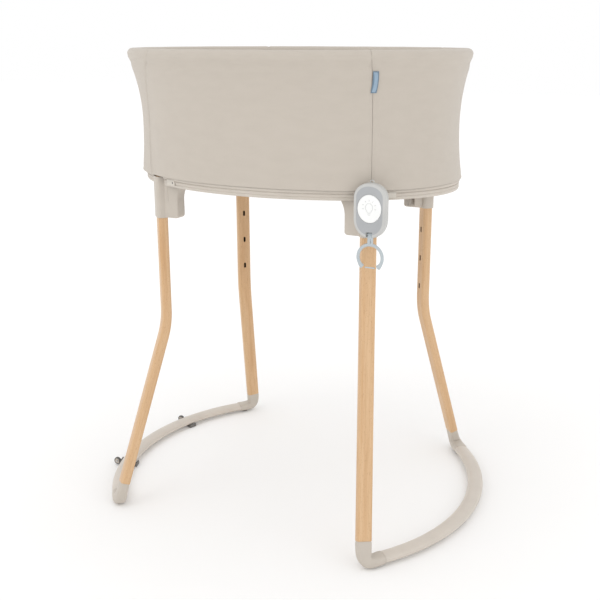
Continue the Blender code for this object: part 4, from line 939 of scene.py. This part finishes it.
def make_socket(name, sx, sy):
    """The elbow between leg and rail, with an eased lip at each end, and the pad under it."""
    outward, sideways = leg_frame(sx, sy)
    knee, joint = knee_and_joint(sx, sy)
    splay = (joint - knee).normalized()
    radial, tangent = arc_axes(sx, sy * RAIL_ANGLE)
    start, end = joint + splay * GAP, arc_point(sx, sy * RAIL_ANGLE)
    corner = joint + splay * ((JOINT[2] - RAIL_Z + CORNER_DROP) / -splay.z)
    handles = (start + (corner - start) * CORNER_EASE, end + (corner - end) * CORNER_EASE)
    steps = 34
    rings = []
    for step in range(steps + 1):
        t = step / steps
        centre = (start * (1 - t) ** 3 + handles[0] * 3 * t * (1 - t) ** 2
                  + handles[1] * 3 * t ** 2 * (1 - t) + end * t ** 3)
        direction = ((handles[0] - start) * (1 - t) ** 2 + (handles[1] - handles[0]) * 2 * t * (1 - t)
                     + (end - handles[1]) * t ** 2)
        direction = splay if step == 0 else tangent * -sy if step == steps else direction
        across, upright = axes_for(direction, outward * (1 - t) + radial * t)
        blend = t * t * (3 - 2 * t)
        lip = LIP if step in (0, steps) else 0.0
        half_across = (LEG_THICK * (1 - blend) + RAIL_WIDE * blend) / 2 - lip
        half_upright = (LEG_WIDE * (1 - blend) + RAIL_TALL * blend) / 2 - lip
        radius = min(half_across, half_upright)
        round_corner = LEG_CORNER + (radius - 0.0004 - LEG_CORNER) * blend
        section = rounded_section(half_across, half_upright, round_corner, 8)
        rings.append(place_section(section, centre, across, upright))
    socket = skin("foot_elbow_" + name, rings)
    side, out = axes_for(splay, sideways)
    shrink = TENON_STEP - GAP
    hole = rounded_section(LEG_WIDE / 2 - shrink, LEG_THICK / 2 - shrink, LEG_CORNER - TENON_STEP)
    tenon = skin("tenon_cutter", [place_section(hole, joint + splay * reach, side, out)
                                  for reach in (-0.005, TENON_LENGTH + END_PLAY)])
    bore, ends = rail_section(SPIGOT_STEP - GAP), []
    for reach in (-0.004, SPIGOT_LENGTH + END_PLAY):
        turn = sy * (RAIL_ANGLE + reach / ARC_RADIUS)
        ends.append(place_section(bore, arc_point(sx, turn), arc_axes(sx, turn)[0], UP))
    spigot = skin("spigot_cutter", ends)
    pad_low, pad_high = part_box("foot_pad_" + name)
    middle, radius, top = (pad_low + pad_high) / 2, PAD_RADIUS, pad_high.z
    opening = oval_section(radius + GAP, radius + GAP, 32)
    pad_hole = skin("pad_cutter", upright_rings(opening, middle.x, middle.y, (-0.01, top + GAP)))
    carve(socket, [tenon, spigot, pad_hole])
    finish_piece(socket, GREIGE, "stand", ["foot_socket_" + name])
    rings = []
    for inset, z in ((0.0010, 0.0), (0.0001, 0.0008), (0.0, 0.0016), (0.0, top)):
        rings += upright_rings(oval_section(radius - inset, radius - inset, 32), middle.x, middle.y, [z])
    pad = skin("rubber_pad_" + name, rings)
    finish_piece(pad, RUBBER, "stand", ["foot_pad_" + name])


def make_wheel(name):
    """A small caster wheel: rubber tread, recessed pale hub with a rounded cap."""
    node = "caster_wheel_" + name
    low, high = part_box(node)
    centre, radius, half = (low + high) / 2, (high.z - low.z) / 2, (high.y - low.y) / 2
    bore = 0.00206
    tread = [(radius * 0.74, -half), (radius * 0.90, -half), (radius - 0.0004, -half + 0.0006),
             (radius, -half + 0.0016), (radius, half - 0.0016), (radius - 0.0004, half - 0.0006),
             (radius * 0.90, half), (radius * 0.74, half)]
    hub = [(bore, -half + 0.0006), (radius * 0.45, -half + 0.0002), (radius * 0.60, -half + 0.0012),
           (radius * 0.73, -half + 0.0004), (radius * 0.73, half - 0.0004), (radius * 0.60, half - 0.0012),
           (radius * 0.45, half - 0.0002), (bore, half - 0.0006)]
    for piece_name, profile, material, slot in (("caster_tread_" + name, tread, RUBBER, "rubber"),
                                                ("caster_hub_" + name, hub, GREIGE, "greige_plastic")):
        rings, steps = [], 56
        for i in range(steps):
            turn = 2 * pi * i / steps
            rings.append([centre + Vector((r * cos(turn), y, r * sin(turn))) for r, y in profile])
        piece = skin(piece_name, rings, cyclic=True)
        finish_piece(piece, material, node, [node] if material is RUBBER else ())


# ---------------------------------------------------------------- brackets
def make_wing(sx, sy):
    """The wing along the basket's side: a rounded foot, then a flare up to the zip band."""

    def ring(z, reach, trim):
        far, near = LEG_X - reach, LEG_X - 0.004
        out_y, in_y = LEG_Y + WING_OUT - trim, LEG_Y - WING_IN + trim
        middle = Vector((sx * (far + near) / 2, sy * (out_y + in_y) / 2, z))
        section = rounded_section((near - far) / 2, (out_y - in_y) / 2, WING_CORNER, 7)
        return place_section(section, middle, Vector((sx, 0, 0)), Vector((0, sy, 0)))

    rings = []
    for i in range(9):
        turn = pi / 2 * i / 8
        short = 1 - sin(turn)
        z = BRACKET_BOTTOM + 0.001 + WING_FOOT * (1 - cos(turn))
        rings.append(ring(z, WING_REACH - WING_FOOT * short, WING_FOOT_TRIM * short))
    for i in range(13):
        share = i / 12
        rings.append(ring(BAND_LOW.z - FLARE_RISE * (1 - share), WING_REACH + WING_FLARE * share ** 2, 0.0))
    rings.append(ring(BRACKET_TOP - 0.0004, WING_REACH + WING_FLARE, 0.0))
    return skin("wing", rings)


def make_heel(sx, sy):
    """The block that takes the end tube, kept inside the zip band."""
    heel_x = BAND_A * sqrt(1 - ((LEG_Y - BAND_SIDE_END) / BAND_B) ** 2) - HEEL_CLEAR
    low_x, high_x = sorted((sx * (heel_x - HEEL_LONG), sx * heel_x))
    low_y, high_y = sorted((sy * (FRAME_END_Y - HEEL_DEEP), sy * (LEG_Y - LEG_THICK / 2 + 0.001)))
    heel_low = FRAME_Z - FRAME_TUBE - 0.0028
    return block("heel", (low_x, low_y, heel_low), (high_x, high_y, BRACKET_TOP - 0.0002), WING_CORNER)


def make_housing(inner_face, sideways, outward):
    """The boss round the latch, on the leg's inner side."""
    centre = inner_face + UP * (SLOT_TOP_Z + 0.0005)
    rings = []
    for reach, inset in ((0.001, 0), (0.0202, 0), (0.021, 0.0008)):
        section = rounded_section(0.0085 - inset, 0.0105 - inset, 0.003 - inset * 0.5)
        rings.append(place_section(section, centre - outward * reach, sideways, UP))
    return skin("housing", rings)


def make_collar(centre, sideways, outward):
    """The sleeve round the leg, with eased edges."""
    rings, low, high = [], BRACKET_BOTTOM, BRACKET_TOP
    for z, inset in ((low, 0.0008), (low + 0.0003, 0.0003), (low + 0.001, 0.0), (high - 0.0006, 0.0),
                     (high, 0.0005)):
        wall = COLLAR_WALL - inset
        section = rounded_section(LEG_WIDE / 2 + GAP + wall, LEG_THICK / 2 + GAP + wall, LEG_CORNER + wall, 8)
        rings.append(place_section(section, centre + UP * z, sideways, outward))
    return rings


def frame_tube_cutters(sx, sy):
    """Bores for the basket's lower tubes, along the side and across the end."""
    side_reach = asin((LEG_X - WING_REACH + 0.0062) / FRAME_A) + 0.0015
    end_reach = asin(FRAME_END_Y / FRAME_B) + 0.0015
    cutters = []
    for middle, reach in ((pi / 2, side_reach), (0.0, end_reach)):
        path = []
        for i in range(41):
            turn = middle + reach * (i / 20 - 1)
            path.append(Vector((sx * FRAME_A * cos(turn), sy * FRAME_B * sin(turn), FRAME_Z)))
        cutters.append(tube("tube_cutter", path, FRAME_TUBE + GAP, 24))
    return cutters


def make_bracket(name, sx, sy):
    """Collar, wing, heel and latch housing in one moulding, with a fine parting groove."""
    outward, sideways = leg_frame(sx, sy)
    centre = Vector((sx * LEG_X, sy * LEG_Y, 0))
    inner_face = centre - outward * (LEG_THICK / 2)
    past = 0.05
    bracket = skin("bracket_" + name, make_collar(centre, sideways, outward))
    added = [make_wing(sx, sy), make_heel(sx, sy), make_housing(inner_face, sideways, outward)]
    passage = rounded_section(LEG_WIDE / 2 + GAP, LEG_THICK / 2 + GAP, LEG_CORNER)
    leg_cut = skin("leg_cutter", [place_section(passage, centre + UP * z, sideways, outward)
                                  for z in (BRACKET_BOTTOM - past, BRACKET_TOP + past)])
    blade = rounded_section(SLOT_WIDE / 2 - 0.0001, SLOT_TALL / 2 - 0.0002, 0.0019)
    slot_centre = inner_face + UP * SLOT_TOP_Z
    blade_cut = skin("blade_cutter", [place_section(blade, slot_centre - outward * reach, sideways, UP)
                                      for reach in (-0.003, 0.031)])
    post_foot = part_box("rim_post_" + name)[0].z
    post_x, post_y = sx * (LEG_X - 0.0317), sy * (LEG_Y - 0.0018)
    post_cut = skin("post_cutter", upright_rings(oval_section(0.0051, 0.0051, 24), post_x, post_y,
                                                 (post_foot - GAP, BRACKET_TOP + past)))
    groove_x, groove_y = sx * (LEG_X - GROOVE_INSET), sy * (LEG_Y + WING_OUT)
    groove = block("groove", (groove_x - GROOVE_HALF, groove_y - GROOVE_DEEP, BRACKET_BOTTOM + 0.034),
                   (groove_x + GROOVE_HALF, groove_y + GROOVE_DEEP, BRACKET_BOTTOM + 0.062))
    carve(bracket, [leg_cut, blade_cut, post_cut, groove, *frame_tube_cutters(sx, sy)], added)
    finish_piece(bracket, GREIGE, "basket", ["corner_bracket_" + name])


# ---------------------------------------------------------------- night light
def light_outline(inset, count=96):
    """The light's front outline: arched top, straight sides, tapered foot, as (x, z) pairs."""
    half = LIGHT_HALF - inset
    shoulder, ankle = LIGHT_TOP - TOP_RISE, LIGHT_BOTTOM + FOOT_RISE
    points = []
    for index in range(count):
        turn = 2 * pi * index / count
        if sin(turn) >= -1e-9:
            z = shoulder + (TOP_RISE - inset) * abs(sin(turn)) ** (2 / LIGHT_FULLNESS)
        else:
            z = ankle - (FOOT_RISE - inset) * abs(sin(turn)) ** (2 / LIGHT_FULLNESS)
        points.append((half * power(cos(turn), 2 / LIGHT_FULLNESS), z))
    return points


def disc_outline(grow, count=96):
    return [(x, DISC_Z + z) for x, z in oval_section(DISC_HALF_X + grow, DISC_HALF_Z + grow, count)]


def light_ring(outline, y):
    return [Vector((LIGHT_X + x, y, z)) for x, z in outline]


def notch_cutter():
    """The slot at the light's foot, where the ring hangs."""
    past = 0.01
    return block("notch", (LIGHT_X - NOTCH_HALF, LIGHT_FRONT - past, LIGHT_BOTTOM - past),
                 (LIGHT_X + NOTCH_HALF, LIGHT_BACK + past, LIGHT_BOTTOM + NOTCH_TALL))


def make_light_case():
    """Front shell with a wide pale bevel round a grey face, and a plain back shell."""
    parting, wall = LIGHT_BACK - 0.0070, LIGHT_WALL
    hole = disc_outline(0.0005)
    stations = [(light_outline(0), parting - GAP / 2), (light_outline(0), LIGHT_FRONT + FRONT_BEND)]
    for i in range(1, 7):
        turn = pi / 2 * i / 6
        stations.append((light_outline(FRONT_BEVEL * (1 - cos(turn))),
                         LIGHT_FRONT + FRONT_BEND - 0.0036 * sin(turn)))
    stations += [(light_outline(0.0050), LIGHT_FRONT + 0.0002), (light_outline(0.0056), LIGHT_FRONT),
                 (disc_outline(0.0014), LIGHT_FRONT), (disc_outline(0.0006), LIGHT_FRONT + 0.0004),
                 (hole, LIGHT_FRONT + 0.0009), (hole, LIGHT_FRONT + wall),
                 (light_outline(wall + 0.0030), LIGHT_FRONT + wall),
                 (light_outline(wall), LIGHT_FRONT + 0.0050),
                 (light_outline(wall), parting - GAP / 2)]
    front = skin("lamp_front", [light_ring(outline, y) for outline, y in stations], cyclic=True, sharp=30)
    carve(front, [notch_cutter()], sharp=30)
    finish_piece(front, LIGHT_GREY, "night_light", ["light_case_front"])
    front.data.materials.append(LIGHT_EDGE)
    for face in front.data.polygons:
        outside = LIGHT_FRONT + 0.00005 < face.center.y < parting and face.normal.y < 0.3
        if outside and not inside_disc(face.center, 0.003):
            face.material_index = 1
    make_light_back(parting, wall)


def make_light_back(parting, wall):
    """The back shell, with the neck that holds the ring's pin and a small loop on top."""
    stations = [(light_outline(wall), LIGHT_BACK - wall), (light_outline(wall), parting + GAP / 2),
                (light_outline(0), parting + GAP / 2), (light_outline(0), LIGHT_BACK - BACK_BEVEL)]
    for i in range(1, 5):
        turn = pi / 2 * i / 4
        stations.append((light_outline(BACK_BEVEL * (1 - cos(turn))),
                         LIGHT_BACK - BACK_BEVEL + BACK_BEVEL * sin(turn)))
    back = skin("lamp_back", [light_ring(outline, y) for outline, y in stations])
    neck_half, neck_reach = 0.0092, 0.0083
    neck = block("neck_block", (LIGHT_X - neck_half, LIGHT_FRONT + 0.0035, LIGHT_BOTTOM + 0.0036),
                 (LIGHT_X + neck_half, LIGHT_BACK - wall / 2, LIGHT_BOTTOM + 0.0128))
    loop_centre, loop_radius = Vector((LIGHT_X, LIGHT_BACK - 0.0035, LIGHT_TOP + 0.0010)), 0.0033
    loop, section, steps = [], oval_section(0.0009, 0.0016, 14), 40
    for i in range(steps):
        turn = 2 * pi * i / steps
        radial = Vector((cos(turn), 0, sin(turn)))
        loop.append(place_section(section, loop_centre + radial * loop_radius, radial, BACK))
    lug = skin("lug", loop, cyclic=True)
    pin_ends = [HOOK_PIN - RIGHT * neck_reach, HOOK_PIN + RIGHT * neck_reach]
    pin_hole = tube("pin_cutter", pin_ends, PIN_BORE, 20)
    carve(back, [notch_cutter(), pin_hole], [neck, lug], sharp=30)
    finish_piece(back, LIGHT_EDGE, "night_light", ["light_case_back"])


def inside_disc(point, margin):
    across, up = (point.x - LIGHT_X) / (DISC_HALF_X + margin), (point.z - DISC_Z) / (DISC_HALF_Z + margin)
    return across ** 2 + up ** 2 < 1


def make_button():
    """The white push lens, slightly domed, with a generic bulb symbol and short rays on it."""
    flange = LIGHT_FRONT + LIGHT_WALL + GAP
    lip = disc_outline(0.0016)
    stations = [(lip, flange + 0.0012), (lip, flange), (disc_outline(0), flange),
                (disc_outline(0), LIGHT_FRONT + 0.0003), (disc_outline(-0.0004), LIGHT_FRONT - 0.0002),
                (disc_outline(-0.0012), LIGHT_FRONT - 0.0005)]
    for i in range(1, 8):
        inset = 0.0012 + (DISC_HALF_X - 0.003) * i / 8
        stations.append((disc_outline(-inset), LIGHT_FRONT - 0.0005 - 0.0004 * sin(pi / 2 * i / 8)))
    button = skin("lamp_button", [light_ring(outline, y) for outline, y in stations])
    finish_piece(button, LIGHT_WHITE, "light_button", ["light_button"])
    make_symbol(LIGHT_FRONT - 0.0009)


def make_symbol(y):
    """A bulb's outline with two lines for its base and seven rays, as raised threads."""
    bulb = []
    for i in range(31):
        turn = radians(-142 + 284 * i / 30)
        bulb.append((0.0068 * sin(turn), 0.0024 + 0.0076 * cos(turn)))
    left, right = bulb[0], bulb[-1]
    outline = [(left[0] + 0.0010, left[1] - 0.0030)] + bulb + [(right[0] - 0.0010, right[1] - 0.0030)]
    strokes = [("outline", outline), ("base_upper", [(-0.0030, -0.0072), (0.0030, -0.0072)]),
               ("base_lower", [(-0.0024, -0.0094), (-0.0008, -0.0108), (0.0008, -0.0108), (0.0024, -0.0094)])]
    for i in range(7):
        turn = radians(-102 + 34 * i)
        strokes.append(("ray_%d" % i, [(0.0106 * sin(turn), 0.0024 + 0.0110 * cos(turn)),
                                       (0.0136 * sin(turn), 0.0024 + 0.0142 * cos(turn))]))
    for name, points in strokes:
        path = [Vector((LIGHT_X + x, y, DISC_Z + z)) for x, z in points]
        line = tube("lamp_symbol_" + name, path, 0.00042, 8)
        finish_piece(line, ICON_GREY, "light_button")


def make_hook():
    """The hanging ring: neck with a slit, open loop with swollen ends, and the straight gate bar."""
    pin = HOOK_PIN
    centre = pin - UP * RING_DROP
    first, last = RING_OPEN - pi / 2, 3 * pi / 2 - RING_OPEN
    rings, steps = [], 72
    for step in range(steps + 1):
        turn = first + (last - first) * step / steps
        radial = Vector((cos(turn), 0, sin(turn)))
        edge = min(step, steps - step) / steps
        swell = 1.0 + hump(edge, 0.58, 0.060)
        cap = 0.70 if edge == 0 else 1.0
        section = oval_section(RING_BAND * swell * cap, RING_BAND * 0.95 * cap, 20)
        rings.append(place_section(section, centre + radial * RING_RADIUS, radial, BACK))
    hook = skin("hook_loop", rings)
    neck_low = centre.z + RING_RADIUS - 0.0010
    rings = []
    for z, half in ((neck_low, 0.0056), (neck_low + 0.004, 0.0050), (pin.z - 0.004, 0.0052),
                    (pin.z + 0.0030, 0.0056)):
        rings += upright_rings(rounded_section(half, 0.0022, 0.0010, 4), pin.x, pin.y, [z])
    neck = skin("neck", rings)
    slit = block("slit", (pin.x + 0.0004, pin.y - 0.01, neck_low + 0.0035),
                 (pin.x + 0.0014, pin.y + 0.01, neck_low + 0.0120))
    bore = tube("bore", [pin - RIGHT * 0.02, pin + RIGHT * 0.02], PIN_BORE, 20)
    carve(hook, [slit, bore], [neck], sharp=40)
    finish_piece(hook, RING_PLASTIC, "hook_ring", ["light_hook_ring"])
    low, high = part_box("light_hook_gate")
    middle = (low + high) / 2
    ease = 0.0004
    path = [Vector((x, middle.y, middle.z)) for x in (low.x, low.x + ease, middle.x, high.x - ease, high.x)]
    gate = tube("hook_bar", path, 0.0013, 18, [0.75, 1.0, 1.0, 1.0, 0.75])
    finish_piece(gate, RING_PLASTIC, "hook_gate", ["light_hook_gate"])


# ---------------------------------------------------------------- kept CAD nodes
def dress_nodes():
    """Gives each CAD node that is still shown its material, and eases the edges of the dock, caster arms and
    latches.
    """
    looks = {"light_dock": GREIGE, "floor_board": BOARD, "rim_padding": FOAM, "rim_tube": STEEL,
             "light_battery": BATTERY, "light_circuit_board": CIRCUIT, "light_hook_pin": STEEL}
    for name in ("front", "back"):
        looks["caster_arm_" + name] = DARK_PLASTIC
        looks["caster_axle_" + name] = STEEL
    for name in CORNERS:
        looks["height_latch_" + name] = LATCH_PLASTIC
        looks["rim_post_" + name] = TUBE_PAINT
    for name in ("front", "back", "left", "right"):
        looks["lower_tube_" + name] = TUBE_PAINT
    for name, material in looks.items():
        node = NODES[name]
        node.data.materials.clear()
        node.data.materials.append(material)
        node.data.shade_smooth()
        node.data.set_sharp_from_angle(angle=radians(42))
    latches = ["height_latch_" + corner for corner in CORNERS]
    for name in ("light_dock", "caster_arm_front", "caster_arm_back", *latches):
        ease = NODES[name].modifiers.new("eased_edges", "BEVEL")
        ease.width, ease.segments, ease.limit_method = 0.00035, 2, "ANGLE"
        ease.angle_limit = radians(40)


# ---------------------------------------------------------------- stage
CAMERA_PLACE, CAMERA_TILT, CAMERA_TURN = (0.8279, -1.6841, 0.9519), 90 - 15.41, 25.36
CAMERA_LENS, CAMERA_SHIFT_X, CAMERA_SHIFT_Y = 54.89, -0.0175, -0.0194
LAMPS = (("key", (-1.6, -2.6, 3.0), 2.4, 15.0), ("fill", (2.8, -1.2, 1.8), 2.0, 6.0))
FLOOR_REACH = 14


def make_stage():
    """Pale floor, soft studio light, and the camera at the front right."""
    scene = bpy.context.scene
    mesh = bpy.data.meshes.new("studio_floor")
    reach = FLOOR_REACH
    mesh.from_pydata([(-reach, -reach, 0), (reach, -reach, 0), (reach, reach, 0), (-reach, reach, 0)], [],
                     [(0, 1, 2, 3)])
    floor = bpy.data.objects.new("studio_floor", mesh)
    scene.collection.objects.link(floor)
    paint = Shader("floor_paint", (0.93, 0.925, 0.92), 0.9)
    spot = paint.node("SeparateXYZ", {0: paint.place()})
    away = paint.math("SQRT", paint.math("ADD", paint.math("POWER", spot.outputs[0], 2.0),
                                         paint.math("POWER", spot.outputs[1], 2.0)))
    paint.main.inputs["Emission Color"].default_value = (1.0, 1.0, 1.0, 1.0)
    paint.tree.links.new(paint.ramp(away, 0.45, 1.5, 0.05, 0.14), paint.main.inputs["Emission Strength"])
    floor.data.materials.append(paint.material)
    world = bpy.data.worlds.new("studio")
    world.use_nodes = True
    world.node_tree.nodes["Background"].inputs["Color"].default_value = (1.0, 1.0, 1.0, 1.0)
    world.node_tree.nodes["Background"].inputs["Strength"].default_value = 1.0
    scene.world = world
    for name, place, size, watts in LAMPS:
        lamp = bpy.data.lights.new(name, "AREA")
        lamp.size, lamp.energy = size, watts
        light = bpy.data.objects.new(name, lamp)
        light.location = place
        light.rotation_euler = (Vector(place) - Vector((0, 0, 0.5))).to_track_quat("Z", "Y").to_euler()
        scene.collection.objects.link(light)
    scene.view_settings.view_transform = "Standard"
    camera = bpy.data.objects.new("camera", bpy.data.cameras.new("camera"))
    camera.location = CAMERA_PLACE
    camera.rotation_euler = (radians(CAMERA_TILT), 0.0, radians(CAMERA_TURN))
    camera.data.lens = CAMERA_LENS
    camera.data.shift_x, camera.data.shift_y = CAMERA_SHIFT_X, CAMERA_SHIFT_Y
    scene.collection.objects.link(camera)
    scene.camera = camera


make_stage()
for panel_side, first_corner, last_corner, full_turn in (
        ("right", "front_right", "back_right", 0), ("back", "back_right", "back_left", 0),
        ("left", "back_left", "front_left", 0), ("front", "front_left", "front_right", 2 * pi)):
    make_cover_panel(panel_side, first_corner, last_corner, full_turn)
make_stitches()
SIDE_LIMIT, END_LIMIT = asin((LEG_X - BAND_END) / BAND_A), asin((LEG_Y - BAND_SIDE_END) / BAND_B)
for band_side, middle_turn, band_limit in (("right", 0, END_LIMIT), ("back", pi / 2, SIDE_LIMIT),
                                           ("left", pi, END_LIMIT), ("front", -pi / 2, SIDE_LIMIT)):
    make_hem_band(band_side, middle_turn, band_limit)
make_band_tabs()
make_liner()
make_mattress()
make_tag()
for corner_name, (side_x, side_y) in CORNERS.items():
    make_leg(corner_name, side_x, side_y)
    make_socket(corner_name, side_x, side_y)
    make_bracket(corner_name, side_x, side_y)
make_rail("left", -1)
make_rail("right", 1)
make_wheel("front")
make_wheel("back")
make_light_case()
make_button()
make_hook()
dress_nodes()
